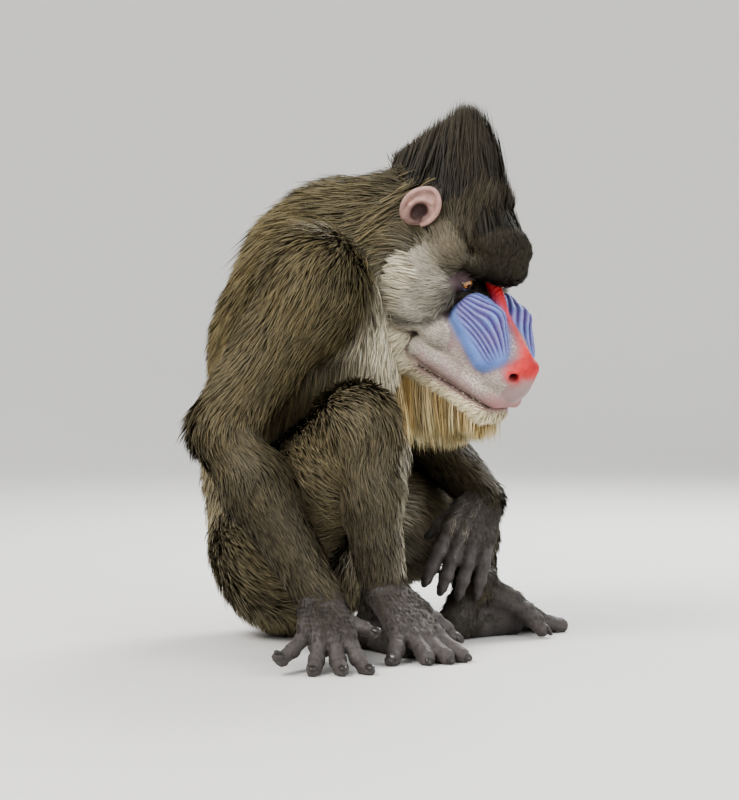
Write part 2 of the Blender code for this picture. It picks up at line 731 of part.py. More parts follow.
def build_ear(side, model, tools):
    """A thin rounded shell that leans back and outwards, with a hollow cup on its front."""
    across = SIDES[side]
    x, forward, height = EAR_PLACE
    turn = Matrix.Rotation(across * math.radians(28), 3, "Z") @ Matrix.Rotation(math.radians(-14), 3, "X")
    axes = head_axes() @ turn
    centre = head_point(across * x, forward, height)
    ear = blended(f"ear_{side}", [
        ball(centre, (0.0070, 0.0215, 0.0275), "skin", axes),
        ball(centre - axes.col[2] * 0.016, (0.0080, 0.0130, 0.0110), "skin", axes),
    ], model, 0.0016, 2, 700)
    bm = bmesh.new()
    hollow = centre + axes.col[0] * across * 0.0105 + axes.col[2] * 0.001
    place = Matrix.Translation(hollow) @ axes.to_4x4() @ Matrix.Diagonal((0.0125, 0.0165, 0.0215, 1.0))
    bmesh.ops.create_icosphere(bm, subdivisions=3, radius=1.0, matrix=place)
    cup = as_tool(object_of("cup", bm, tools))
    boolean(ear, "DIFFERENCE", [cup])
    discard([cup])
    thin = ear.modifiers.new("Thin", "DECIMATE")
    thin.ratio = 0.45
    thin.use_collapse_triangulate = True
    return keep_largest(evaluated(ear))


def build_flesh(name, shapes, model, tools, voxel, smoothing, triangles, knives=(), rows=(), rests=False):
    """A blended node with its locks, cut at its knives and the floor, and clear of every node before it."""
    made = list(model.objects)
    node = blended(name, shapes, model, voxel, smoothing, triangles)
    cutters = [half_space(centre - normal * (GAP / 2), normal, tools) for centre, normal in knives]
    boolean(node, "DIFFERENCE", cutters)
    discard(cutters)
    if rows:
        with_locks(node, rows)
    if rests:
        on_floor(node, tools)
    return clear_of(node, made, tools)


def build_mane(neck, model, tools):
    """The neck with its mane, which lies over the nodes round it."""
    made = list(model.objects)
    with_locks(neck, mane_rows())
    tools.objects.unlink(neck)
    model.objects.link(neck)
    neck.hide_render = False
    neck.display_type = "TEXTURED"
    return clear_of(neck, made, tools)


def joint_plane(before, joint, after):
    """The plane that halves a bent joint, facing the far side of the limb."""
    return joint, ((joint - before).normalized() + (after - joint).normalized()).normalized()


def build_limb(side, upper, lower, tip, joints, shapes, tip_shapes, model, tools, triangles):
    """A whole limb parted at its joint, and the hand or foot that meets it at the end."""
    root, joint, end = (place[side] for place in joints)
    middle = joint_plane(root, joint, end)
    far = end, (end - joint).normalized()

    def other_side(plane):
        return plane[0], -plane[1]

    made = list(model.objects)
    whole = clear_of(blended("whole", shapes, tools, LIMB_VOXEL, 5, triangles), made, tools)
    parted(whole, f"{upper}_{side}", [middle], model, tools)
    parted(whole, f"{lower}_{side}", [other_side(middle), far], model, tools)
    discard([whole])
    build_flesh(f"{tip}_{side}", tip_shapes, model, tools, DIGIT_VOXEL, 3, 640, [other_side(far)], rests=True)


def colour_nodes(model):
    """Plain colours of the species for each part of the body."""
    looks = {
        "dark_coat": ((0.090, 0.080, 0.055), 0.90),
        "pale_coat": ((0.330, 0.290, 0.210), 0.90),
        "gold_coat": ((0.520, 0.300, 0.080), 0.90),
        "face": ((0.115, 0.230, 0.520), 0.55),
        "dark_skin": ((0.050, 0.043, 0.042), 0.60),
        "ear_skin": ((0.400, 0.240, 0.210), 0.60),
        "eye": ((0.180, 0.085, 0.025), 0.15),
    }
    made = {name: material(name, *look) for name, look in looks.items()}
    rows = {"head": "face", "jaw": "pale_coat", "beard": "gold_coat", "belly": "pale_coat"}
    families = {"eye": "eye", "ear": "ear_skin", "hand": "dark_skin", "foot": "dark_skin"}
    for obj in model.objects:
        look = rows.get(obj.name) or families.get(obj.name.split("_")[0], "dark_coat")
        obj.data.materials.clear()
        obj.data.materials.append(made[look])


def centred(model):
    """Moves the whole so that the middle of its box is over the origin, with the floor at zero."""
    boxes = [bounds_of(obj) for obj in model.objects]
    middle = [(min(b[k][0] for b in boxes) + max(b[k][1] for b in boxes)) / 2 for k in range(2)]
    shift = Matrix.Translation((-middle[0], -middle[1], 0))
    for obj in model.objects:
        obj.data.transform(shift)


def main():
    clear_scene()
    model, tools = collection("mandrill"), collection("cutters")
    neck = build_trunk(model, tools)
    build_head(model, tools)
    build_flesh("jaw", jaw_shapes(), model, tools, FACE_VOXEL, 3, 300)
    for side in SIDES:
        build_limb(side, "thigh", "shin", "foot", (HIP, KNEE, ANKLE), leg_shapes(side), foot_shapes(side),
                   model, tools, 400)
        build_limb(side, "upper_arm", "forearm", "hand", (SHOULDER, ELBOW, WRIST), arm_shapes(side),
                   hand_shapes(side), model, tools, 400)
        made = list(model.objects)
        clear_of(build_ear(side, model, tools), made, tools)
    build_mane(neck, model, tools)
    for side in SIDES:
        build_flesh(f"ruff_{side}", ruff_core(side), model, tools, LIMB_VOXEL, 3, 120, rows=ruff_rows(side))
    build_flesh("crest", crest_core(), model, tools, LIMB_VOXEL, 3, 160, rows=crest_rows())
    build_flesh("beard", beard_core(), model, tools, LIMB_VOXEL, 3, 160, rows=beard_rows())
    build_flesh("tail", tail_shapes(), model, tools, 0.004, 2, 160)
    colour_nodes(model)
    centred(model)


main()
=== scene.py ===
"""A seated adult male mandrill: skin, eyes, nails and a coat of mesh hair over its solids.

The skin is the surface of one field of balls and limbs, like the ones that the solids are blended from,
but without their coat and with a deeper muzzle. Hair is meshed in thin tapered ribbons that grow from the
skin along its lie. Sizes are in metres.
"""

import math
from collections import namedtuple
from itertools import product

import bmesh
import bpy
import numpy as np
from mathutils import Matrix, Vector


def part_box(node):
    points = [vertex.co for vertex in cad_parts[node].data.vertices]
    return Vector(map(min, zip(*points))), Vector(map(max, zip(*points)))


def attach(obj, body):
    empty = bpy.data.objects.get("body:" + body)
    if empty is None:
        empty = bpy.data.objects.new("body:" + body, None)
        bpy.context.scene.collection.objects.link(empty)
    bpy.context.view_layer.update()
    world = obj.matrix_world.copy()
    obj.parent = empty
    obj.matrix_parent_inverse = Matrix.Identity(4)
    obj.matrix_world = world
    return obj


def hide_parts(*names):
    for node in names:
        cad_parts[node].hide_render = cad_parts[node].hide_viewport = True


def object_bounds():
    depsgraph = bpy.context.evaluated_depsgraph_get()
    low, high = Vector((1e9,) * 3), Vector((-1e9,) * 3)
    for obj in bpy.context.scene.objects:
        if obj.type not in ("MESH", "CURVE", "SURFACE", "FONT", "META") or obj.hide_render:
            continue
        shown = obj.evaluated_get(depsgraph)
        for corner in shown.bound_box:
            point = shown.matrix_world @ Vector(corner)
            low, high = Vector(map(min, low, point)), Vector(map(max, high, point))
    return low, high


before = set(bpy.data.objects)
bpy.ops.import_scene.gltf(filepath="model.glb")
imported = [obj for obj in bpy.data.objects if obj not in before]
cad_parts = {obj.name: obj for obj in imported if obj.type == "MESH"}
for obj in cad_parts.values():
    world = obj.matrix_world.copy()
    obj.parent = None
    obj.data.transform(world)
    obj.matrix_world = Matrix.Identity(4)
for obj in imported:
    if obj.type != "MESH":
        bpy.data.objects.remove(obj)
cad_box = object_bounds()
RNG = np.random.default_rng(20)

# The head is pitched down and turned a little to the right about the root of the neck
HEAD_ORIGIN = Vector((0.0, -0.187, 0.437))
HEAD_PITCH = math.radians(40.0)
HEAD_YAW = math.radians(-8.0)
NECK_PIVOT = Vector((0.0, -0.08, 0.0))
EYE_RADIUS = 0.0125
EYE_PLACE = (0.0335, 0.002, -0.012)
EAR_PLACE = (0.071, -0.074, 0.03)
FACE_BACK = -0.04

SIDES = {"right": -1.0, "left": 1.0}


def either_side(x, y, z):
    """A joint's place on each side, for joints that mirror each other."""
    return {side: Vector((across * x, y, z)) for side, across in SIDES.items()}


# Joints of the limbs
SHOULDER = either_side(0.118, -0.025, 0.415)
ELBOW = {"right": Vector((-0.194, 0.055, 0.258)), "left": Vector((0.192, 0.057, 0.285))}
WRIST = {"right": Vector((-0.205, -0.08, 0.072)), "left": Vector((0.1, -0.128, 0.166))}
HIP = either_side(0.058, 0.062, 0.115)
KNEE = {"right": Vector((-0.12, -0.078, 0.262)), "left": Vector((0.225, -0.03, 0.143))}
ANKLE = {"right": Vector((-0.092, -0.098, 0.072)), "left": Vector((0.078, -0.128, 0.064))}
WRIST_RADIUS = 0.0195
ANKLE_RADIUS = 0.0215

# How deep the flesh of palms and soles is pressed flat on the floor
PRESS = 0.0012

# The ways that the paws point, in degrees about +Z and up from the floor, and how the left hand hangs
HAND_WAY = 218.0
HAND_SLOPE = -32.0
FOOT_WAY = {"right": 240.0, "left": -22.0}
FOOT_SLOPE = -30.0
HANGING_AHEAD = Vector((-0.786, -0.1, -0.6)).normalized()
HANGING_BACK = Vector((-0.7, -0.48, 0.53))

# A digit: offset across and along the palm, turn outwards, bends, radius. The thumb or great toe is first.
PHALANGES = {"finger": (0.029, 0.022, 0.015), "thumb": (0.02, 0.016, 0.013)}
FLAT_HAND = {
    "thumb": (0.016, 0.03, 48, (8, -14, 0), 0.0098),
    "index": (0.023, 0.071, 15, (12, 4, 0), 0.0096),
    "middle": (0.0075, 0.074, 2, (12, 4, 0), 0.01),
    "ring": (-0.0085, 0.072, -12, (12, 4, 0), 0.0098),
    "little": (-0.023, 0.064, -36, (6, -16, -34), 0.009),
}
HANGING_HAND = {
    "thumb": (0.02, 0.028, 34, (22, 12, 8), 0.0098),
    "index": (0.023, 0.07, 6, (30, 8, 8), 0.0096),
    "middle": (0.0075, 0.073, 1, (34, 8, 8), 0.01),
    "ring": (-0.0085, 0.071, -5, (36, 10, 10), 0.0098),
    "little": (-0.023, 0.064, -12, (38, 12, 12), 0.0088),
}
FLAT_FOOT = {
    "great": (0.022, 0.046, 46, (14, 6, 6), 0.0125),
    "second": (0.02, 0.094, 11, (-4, 34, 22), 0.0105),
    "third": (0.005, 0.098, 3, (-4, 36, 22), 0.0108),
    "fourth": (-0.01, 0.094, -6, (-2, 34, 22), 0.0105),
    "fifth": (-0.024, 0.082, -30, (6, 22, 12), 0.01),
}
CURLED_FOOT = {
    "great": (0.022, 0.046, 46, (14, 10, 8), 0.0125),
    "second": (0.02, 0.092, 8, (-8, 48, 42), 0.0105),
    "third": (0.005, 0.096, 2, (-10, 50, 44), 0.0108),
    "fourth": (-0.01, 0.092, -4, (-8, 50, 44), 0.0105),
    "fifth": (-0.024, 0.082, -10, (-4, 48, 40), 0.01),
}

# Voxels of the skin, and the value of an empty field
BODY_VOXEL = 0.0044
FACE_VOXEL = 0.00128
PAW_VOXEL = 0.0019
EAR_VOXEL = 0.0011
FAR = 1.0


def head_point(x, forward, height):
    """A point by the head's own measures: x to its left, forward along the muzzle, height over the eyes."""
    cos_p, sin_p = math.cos(HEAD_PITCH), math.sin(HEAD_PITCH)
    offset = Vector((x, -forward * cos_p - height * sin_p, -forward * sin_p + height * cos_p))
    return NECK_PIVOT + Matrix.Rotation(HEAD_YAW, 3, "Z") @ (HEAD_ORIGIN + offset - NECK_PIVOT)


# The model stands centred over its base, so every place moves by the same step
EYE_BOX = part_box("eye_left")
SHIFT = (EYE_BOX[0] + EYE_BOX[1]) / 2 - head_point(*EYE_PLACE)
STEP = np.array(SHIFT)
HEAD_ZERO = head_point(0, 0, 0)
HEAD_AXES = np.array([head_point(*unit) - HEAD_ZERO for unit in ((1, 0, 0), (0, 1, 0), (0, 0, 1))]).T
LEFT, FORWARD, UP = (Vector(HEAD_AXES[:, i]) for i in range(3))
NO_TURN = np.eye(3)


def head_place(x, forward, height):
    """A point by the head's own measures as an array, where the model stands."""
    return np.array(head_point(x, forward, height) + SHIFT)


def beside(place, side):
    """The head's point at this place, on this side of it."""
    return head_point(SIDES[side] * place[0], place[1], place[2])


def head_measures(points):
    """x, forward and height of points in the head's own measures."""
    return (points - np.array(HEAD_ZERO + SHIFT)) @ HEAD_AXES


def rising(values, start, width):
    """0 below start, and rising to 1 over this width."""
    return np.clip((values - start) / width, 0, 1)


def falling(values, end, width):
    """0 above end, and 1 where values are smaller by this width or more."""
    return np.clip((end - values) / width, 0, 1)


def heading(degrees, lift=0.0):
    """A unit direction at this angle about +Z from +X, lifted above the floor by the second angle."""
    around, up = math.radians(degrees), math.radians(lift)
    return Vector((math.cos(around) * math.cos(up), math.sin(around) * math.cos(up), math.sin(up)))


# Shapes that the flesh is blended from. hair names the coat that grows there, lie is the way it lies.
Shape = namedtuple("Shape", "start end first last axes blend hair lie part")


def ball(centre, radii, hair, lie, part, blend=0.02, axes=NO_TURN):
    centre = np.array(Vector(centre) + SHIFT)
    return Shape(centre, None, np.array(radii), None, np.array(axes), blend, hair, np.array(lie), part)


def limb(start, start_radius, end, end_radius, hair, part, lie=None, blend=0.01):
    start, end = np.array(Vector(start) + SHIFT), np.array(Vector(end) + SHIFT)
    lie = end - start if lie is None else np.array(lie)
    return Shape(start, end, start_radius, end_radius, None, blend, hair, lie, part)


def distance(shape, points):
    """Roughly how far each point lies outside the shape, and below 0 inside it."""
    if shape.end is None:
        at = (points - shape.start) @ shape.axes
        near = np.linalg.norm(at / shape.first, axis=1)
        steep = np.linalg.norm(at / shape.first**2, axis=1)
        return near * (near - 1) / np.maximum(steep, 1e-9)
    along = shape.end - shape.start
    t = np.clip((points - shape.start) @ along / (along @ along), 0, 1)
    gap = points - shape.start - t[:, None] * along
    return np.linalg.norm(gap, axis=1) - (shape.first + (shape.last - shape.first) * t)


def reach_of(shape):
    """The corners of a box round the shape."""
    if shape.end is None:
        size = max(shape.first)
        return shape.start - size, shape.start + size
    size = max(shape.first, shape.last)
    return np.minimum(shape.start, shape.end) - size, np.maximum(shape.start, shape.end) + size


def box_round(shapes, margin):
    """The corners of a box with this margin round the shapes."""
    reaches = np.array([reach_of(shape) for shape in shapes])
    return reaches[:, 0].min(0) - margin, reaches[:, 1].max(0) + margin


def trunk_shapes():
    down, back = (0, 0.25, -1), (0, 0.75, -0.65)
    neck = (0, -0.01, 0.462), head_point(0, -0.095, -0.02)
    return [
        ball((0, 0.074, 0.094), (0.106, 0.084, 0.087), "rump", down, "trunk", 0.03),
        ball((0, 0.072, 0.2), (0.103, 0.103, 0.11), "flank", down, "trunk", 0.04),
        ball((0, 0.045, 0.34), (0.113, 0.121, 0.13), "back", down, "trunk", 0.04),
        limb((0, 0.078, 0.13), 0.086, (0, 0.076, 0.25), 0.092, "flank", "trunk", down, 0.03),
        limb((0, 0.07, 0.27), 0.094, (0, 0.024, 0.408), 0.101, "back", "trunk", down, 0.03),
        ball((0, 0.004, 0.435), (0.116, 0.093, 0.087), "withers", back, "trunk", 0.035),
        ball((0, -0.05, 0.36), (0.082, 0.057, 0.087), "chest", (0, -0.1, -1), "trunk", 0.03),
        ball((0, -0.02, 0.215), (0.07, 0.03, 0.09), "belly", (0, -0.1, -1), "trunk", 0.03),
        limb(neck[0], 0.074, neck[1], 0.066, "neck", "neck", (0, 0.9, -0.45), 0.03),
        limb((0, 0.15, 0.118), 0.012, (0.004, 0.196, 0.162), 0.006, "tail", "trunk"),
    ]


def arm_shapes(side):
    shoulder, elbow, wrist = SHOULDER[side], ELBOW[side], WRIST[side]
    muscle = elbow.lerp(wrist, 0.35)
    upper, fore = f"upper_arm_{side}", f"forearm_{side}"
    return [
        ball(shoulder, (0.046, 0.056, 0.064), "shoulder", elbow - shoulder, upper, 0.03),
        limb(shoulder, 0.044, elbow, 0.031, "shoulder", upper, None, 0.025),
        limb(shoulder.lerp(elbow, 0.25) + Vector((0, 0.014, 0)), 0.034, shoulder.lerp(elbow, 0.8), 0.031,
             "arm", upper, None, 0.02),
        limb(elbow, 0.031, muscle, 0.035, "arm", fore, None, 0.016),
        limb(muscle, 0.035, wrist, 0.0205, "forearm", fore, None, 0.016),
    ]


def leg_shapes(side):
    hip, knee, ankle = HIP[side], KNEE[side], ANKLE[side]
    middle, calf = hip.lerp(knee, 0.5), knee.lerp(ankle, 0.4)
    thigh, shin = f"thigh_{side}", f"shin_{side}"
    lie = (knee - hip).normalized() * 0.7 + Vector((0, 0.1, -0.6))
    down_shin = (calf - knee).normalized() + Vector((0, 0, -0.5))
    return [
        limb(hip, 0.074, middle, 0.063, "thigh", thigh, lie, 0.02),
        limb(middle, 0.063, knee, 0.04, "thigh", thigh, lie, 0.02),
        limb(knee, 0.038, calf, 0.034, "knee", shin, down_shin, 0.016),
        limb(calf, 0.034, ankle, 0.0225, "shin", shin, None, 0.016),
    ]


def skull_shapes():
    """The skull, brow, cheeks and ear roots, which the coat covers."""
    up_back = UP - FORWARD * 0.55

    def lump(x, forward, height, radii, hair, lie, blend=0.012):
        return ball(head_point(x, forward, height), radii, hair, lie, "head", blend, HEAD_AXES)

    shapes = [
        lump(0, -0.068, 0.014, (0.058, 0.072, 0.05), "crown", up_back, 0.02),
        lump(0, -0.075, 0.05, (0.034, 0.056, 0.03), "crown", up_back, 0.02),
        lump(0, 0.029, 0.017, (0.026, 0.012, 0.014), "brow", up_back, 0.01),
        lump(0, 0.004, 0.033, (0.041, 0.029, 0.025), "brow", up_back, 0.014),
    ]
    for side in SIDES.values():
        back = -FORWARD + LEFT * side * 0.25
        brow = head_point(0, 0.024, 0.017), head_point(side * 0.037, 0.01, 0.01)
        shapes += [
            limb(brow[0], 0.013, brow[1], 0.01, "brow", "head", up_back + LEFT * side * 0.35, 0.008),
            lump(side * 0.046, -0.025, -0.032, (0.019, 0.036, 0.028), "cheek", back - UP * 0.25, 0.01),
            lump(side * 0.043, -0.028, -0.064, (0.023, 0.036, 0.04), "cheek", back - UP * 0.5, 0.01),
            lump(side * 0.05, -0.024, 0.006, (0.011, 0.028, 0.019), "temple", back + UP * 0.15, 0.012),
        ]
    return shapes


# The long swelling beside the nose: start, radius, end, radius and blend of each bar, on the left side
SWELLING_BARS = (
    ((0.028, 0.033, -0.0265), 0.0145, (0.027, 0.058, -0.027), 0.0165, 0.004),
    ((0.027, 0.058, -0.027), 0.0165, (0.027, 0.09, -0.051), 0.0135, 0.004),
    ((0.031, 0.031, -0.043), 0.0165, (0.029, 0.082, -0.062), 0.0145, 0.01),
    ((0.0175, 0.034, -0.0225), 0.009, (0.0185, 0.058, -0.023), 0.0105, 0.003),
    ((0.0185, 0.058, -0.023), 0.0105, (0.0175, 0.088, -0.047), 0.009, 0.003),
)


def muzzle_shapes():
    """The bare or short-haired face in front of the skull, without the lower jaw."""
    back = -FORWARD - UP * 0.15

    def lump(x, forward, height, radii, hair, blend=0.006):
        return ball(head_point(x, forward, height), radii, hair, back, "head", blend, HEAD_AXES)

    def bar(start, start_radius, end, end_radius, hair, blend=0.005):
        return limb(head_point(*start), start_radius, head_point(*end), end_radius, hair, "head", back, blend)

    shapes = [
        lump(0, 0.048, -0.058, (0.036, 0.072, 0.036), "muzzle", 0.01),
        lump(0, 0.05, -0.084, (0.037, 0.068, 0.03), "muzzle", 0.01),
        lump(0, 0.105, -0.074, (0.031, 0.028, 0.031), "muzzle", 0.008),
        bar((0, 0.018, -0.003), 0.0085, (0, 0.06, -0.0265), 0.0075, "strip", 0.003),
        bar((0, 0.06, -0.0265), 0.0075, (0, 0.108, -0.042), 0.0095, "strip", 0.003),
        lump(0, 0.117, -0.049, (0.019, 0.013, 0.013), "nose", 0.004),
        bar((-0.017, 0.116, -0.096), 0.0105, (0.017, 0.116, -0.096), 0.0105, "lip", 0.005),
    ]
    for side in SIDES.values():
        shapes += [
            *[bar((side * start[0], *start[1:]), first, (side * end[0], *end[1:]), last, "swelling", blend)
              for start, first, end, last, blend in SWELLING_BARS],
            lump(side * 0.036, 0.014, -0.078, (0.014, 0.026, 0.02), "muzzle", 0.01),
            bar((side * 0.037, 0.01, -0.11), 0.0135, (side * 0.018, 0.1135, -0.096), 0.011, "muzzle", 0.006),
            lump(side * 0.016, 0.115, -0.059, (0.0105, 0.0115, 0.0112), "nose", 0.004),
        ]
    return shapes


def jaw_shapes():
    back = -FORWARD * 0.45 - UP * 0.8
    chin = head_point(-0.016, 0.1095, -0.1165), head_point(0.016, 0.1095, -0.1165)
    shapes = [ball(head_point(0, 0.047, -0.125), (0.03, 0.062, 0.018), "jaw", back, "jaw", 0.006, HEAD_AXES),
              limb(chin[0], 0.0105, chin[1], 0.0105, "jaw", "jaw", back, 0.005)]
    for side in SIDES.values():
        corner = head_point(side * 0.036, 0.008, -0.132)
        shapes += [
            limb(head_point(side * 0.04, -0.034, -0.106), 0.02, corner, 0.0125, "jaw", "jaw", back, 0.006),
            limb(corner, 0.0125, head_point(side * 0.017, 0.108, -0.1165), 0.0105, "jaw", "jaw", back, 0.005),
        ]
    return shapes


def ear_axes(side):
    across = SIDES[side]
    turn = Matrix.Rotation(across * math.radians(28), 3, "Z") @ Matrix.Rotation(math.radians(-14), 3, "X")
    return HEAD_AXES @ np.array(turn)


def ear_shapes(side):
    """The ear's thin plate with its rolled rim, inner ridge and tragus, and the pit of its cup."""
    across = SIDES[side]
    axes = ear_axes(side)
    outward, ahead, up = (Vector(axes[:, i]) for i in range(3))
    centre = beside(EAR_PLACE, side)
    lie = -ahead

    def at(out, forward, height):
        return centre + outward * across * out + ahead * forward + up * height

    def path(points, radius, blend):
        return [limb(at(*start), radius, at(*end), radius, "ear", "head", lie, blend)
                for start, end in zip(points, points[1:])]

    rim = []
    for degrees in range(-32, 265, 9):
        turn = math.radians(degrees)
        height = 0.0245 * math.sin(turn) + 0.002 * math.exp(-(((turn - 1.9) / 0.5) ** 2))
        rim.append((0.003, 0.0188 * math.cos(turn), height))
    root = at(-0.022, -0.001, -0.006)
    shell = [
        ball(at(-0.0005, 0, 0), (0.003, 0.0195, 0.0255), "ear", lie, "head", 0.003, axes),
        ball(at(0, -0.002, -0.017), (0.005, 0.011, 0.01), "ear", lie, "head", 0.004, axes),
        limb(root, 0.014, at(-0.0085, 0.001, -0.005), 0.0125, "ear", "head", lie, 0.005),
        *path(rim, 0.0025, 0.0012),
    ]
    pit = [ball(at(0.0035, 0.003, -0.0055), (0.0085, 0.0086, 0.0112), "ear", lie, "head", 0.003, axes)]
    ridge = [(0.002, 0.006, 0.013), (0.0028, -0.003, 0.0105), (0.003, -0.009, 0.003),
             (0.0028, -0.0095, -0.007), (0.0022, -0.004, -0.015)]
    folds = path(ridge, 0.0022, 0.003)
    folds.append(ball(at(0.002, 0.0125, -0.006), (0.0036, 0.0036, 0.0052), "ear", lie, "head", 0.003, axes))
    return shell, pit, folds


def settled(point, radius):
    """The point lifted so that flesh of this radius only presses on the floor."""
    return Vector((point.x, point.y, max(point.z, radius - PRESS)))


NAILS = []


def digit_shapes(base, ahead, dorsal, bends, lengths, radius, part):
    """The bones of one digit with its knuckles, each bent towards the palm from the one before."""
    across = ahead.cross(dorsal).normalized()
    shapes = []
    start, start_radius = settled(base, radius), radius
    for number, (bend, length) in enumerate(zip(bends, lengths)):
        turn = Matrix.Rotation(-math.radians(bend), 3, across)
        ahead, dorsal = turn @ ahead, turn @ dorsal
        end_radius = radius * (0.92, 0.84, 0.68)[number]
        end = settled(start + ahead * length, end_radius)
        waist = start.lerp(end, 0.5)
        shapes.append(limb(start, start_radius, waist, end_radius * 0.9, "digit", part, None, 0.003))
        shapes.append(limb(waist, end_radius * 0.9, end, end_radius, "digit", part, None, 0.003))
        if number == 2:
            NAILS.append((part, start, end, dorsal, end_radius))
        start, start_radius = end, end_radius
    return shapes


def paw_shapes(root, root_radius, ahead, dorsal, inner, digits, part):
    """A palm of bones side by side with their digits. inner is 1 where the thumb lies left of ahead."""
    left = dorsal.cross(ahead).normalized() * inner
    shapes = []
    for name, (across, along, turn, bends, radius) in digits.items():
        outward = Matrix.Rotation(math.radians(turn) * inner, 3, dorsal)
        knuckle = root + left * across + ahead * along
        start, thick = root + left * across * 0.5, radius * 1.12
        kind = "thumb" if name in ("thumb", "great") else "finger"
        end = settled(knuckle, thick)
        shapes.append(limb(start, root_radius * 0.62, end, thick, "paw", part, None, 0.006))
        shapes += digit_shapes(knuckle, outward @ ahead, dorsal, bends, PHALANGES[kind], radius, part)
    return shapes


def hand_shapes(side):
    wrist, part = WRIST[side], f"hand_{side}"
    inward = (ELBOW[side] - wrist).normalized()
    sleeve = limb(wrist + inward * 0.034, 0.0215, wrist, 0.02, "wrist", part, -inward, 0.006)
    if side == "right":
        ahead, dorsal = heading(HAND_WAY, HAND_SLOPE), heading(HAND_WAY, HAND_SLOPE + 90)
        shapes = paw_shapes(wrist, WRIST_RADIUS, ahead, dorsal, 1, FLAT_HAND, part)
        heel = settled(wrist + heading(HAND_WAY) * 0.02 + Vector((0, 0, -0.046)), 0.017)
        knuckles = settled(wrist + ahead * 0.066, 0.012)
        palm = [limb(wrist, 0.019, heel, 0.015, "paw", part, None, 0.008),
                limb(heel, 0.016, knuckles, 0.012, "paw", part, None, 0.008)]
        return [sleeve, *shapes, *palm]
    ahead = HANGING_AHEAD
    dorsal = (HANGING_BACK - ahead * HANGING_BACK.dot(ahead)).normalized()
    shapes = paw_shapes(wrist, WRIST_RADIUS, ahead, dorsal, -1, HANGING_HAND, part)
    palm = limb(wrist + ahead * 0.018, 0.0165, wrist + ahead * 0.06 - dorsal * 0.004, 0.0135, "paw", part,
                None, 0.008)
    return [sleeve, *shapes, palm]


def foot_shapes(side):
    ankle, way, part = ANKLE[side], FOOT_WAY[side], f"foot_{side}"
    inward = (KNEE[side] - ankle).normalized()
    ahead, dorsal = heading(way, FOOT_SLOPE), heading(way, FOOT_SLOPE + 90)
    digits = FLAT_FOOT if side == "right" else CURLED_FOOT
    shapes = paw_shapes(ankle, ANKLE_RADIUS, ahead, dorsal, -SIDES[side], digits, part)
    heel = settled(ankle - heading(way) * 0.036 + Vector((0, 0, -0.054)), 0.019)
    sole = settled(ankle + heading(way) * 0.052 + Vector((0, 0, -0.058)), 0.016)
    shapes += [
        limb(ankle + inward * 0.034, 0.0235, ankle, 0.022, "wrist", part, -inward, 0.006),
        limb(ankle, 0.0215, heel, 0.018, "paw", part, None, 0.008),
        limb(heel, 0.018, sole, 0.017, "paw", part, None, 0.008),
        limb(ankle, 0.022, sole, 0.017, "paw", part, None, 0.008),
    ]
    return shapes


# The field and its surface

def smooth_min(a, b, blend):
    h = np.clip(0.5 + 0.5 * (a - b) / blend, 0, 1)
    return a + (b - a) * h - blend * h * (1 - h)


def grid_points(low, voxel, start, stop):
    axes = [low[i] + voxel * np.arange(start[i], stop[i], dtype=np.float64) for i in range(3)]
    return np.stack(np.meshgrid(*axes, indexing="ij"), axis=-1).reshape(-1, 3)


def blended_into(values, low, voxel, shape, cut=False):
    """Adds a shape to the field or, with cut, takes it away."""
    margin = shape.blend + 3 * voxel
    first, last = reach_of(shape)
    start = np.clip(np.floor((first - margin - low) / voxel).astype(int), 0, values.shape)
    stop = np.clip(np.ceil((last + margin - low) / voxel).astype(int) + 1, 0, values.shape)
    if (stop <= start).any():
        return
    box = tuple(slice(a, b) for a, b in zip(start, stop))
    found = distance(shape, grid_points(low, voxel, start, stop)).reshape(stop - start)
    if cut:
        values[box] = -smooth_min(-values[box], found, shape.blend)
    else:
        values[box] = smooth_min(values[box], found, shape.blend)


def field(groups, low, high, voxel, cuts=()):
    """The smallest of each group's own blend, so that groups meet in a crease."""
    counts = np.ceil((high - low) / voxel).astype(int) + 1
    whole = np.full(counts, FAR)
    for crease, shapes in groups:
        values = np.full(counts, FAR)
        for shape in shapes:
            blended_into(values, low, voxel, shape)
        whole = smooth_min(whole, values, crease)
    for shape in cuts:
        blended_into(whole, low, voxel, shape, True)
    return whole


CORNERS = np.array(list(product((0, 1), repeat=3)))
EDGES = [(a, b) for a in range(8) for b in range(a + 1, 8) if np.abs(CORNERS[a] - CORNERS[b]).sum() == 1]


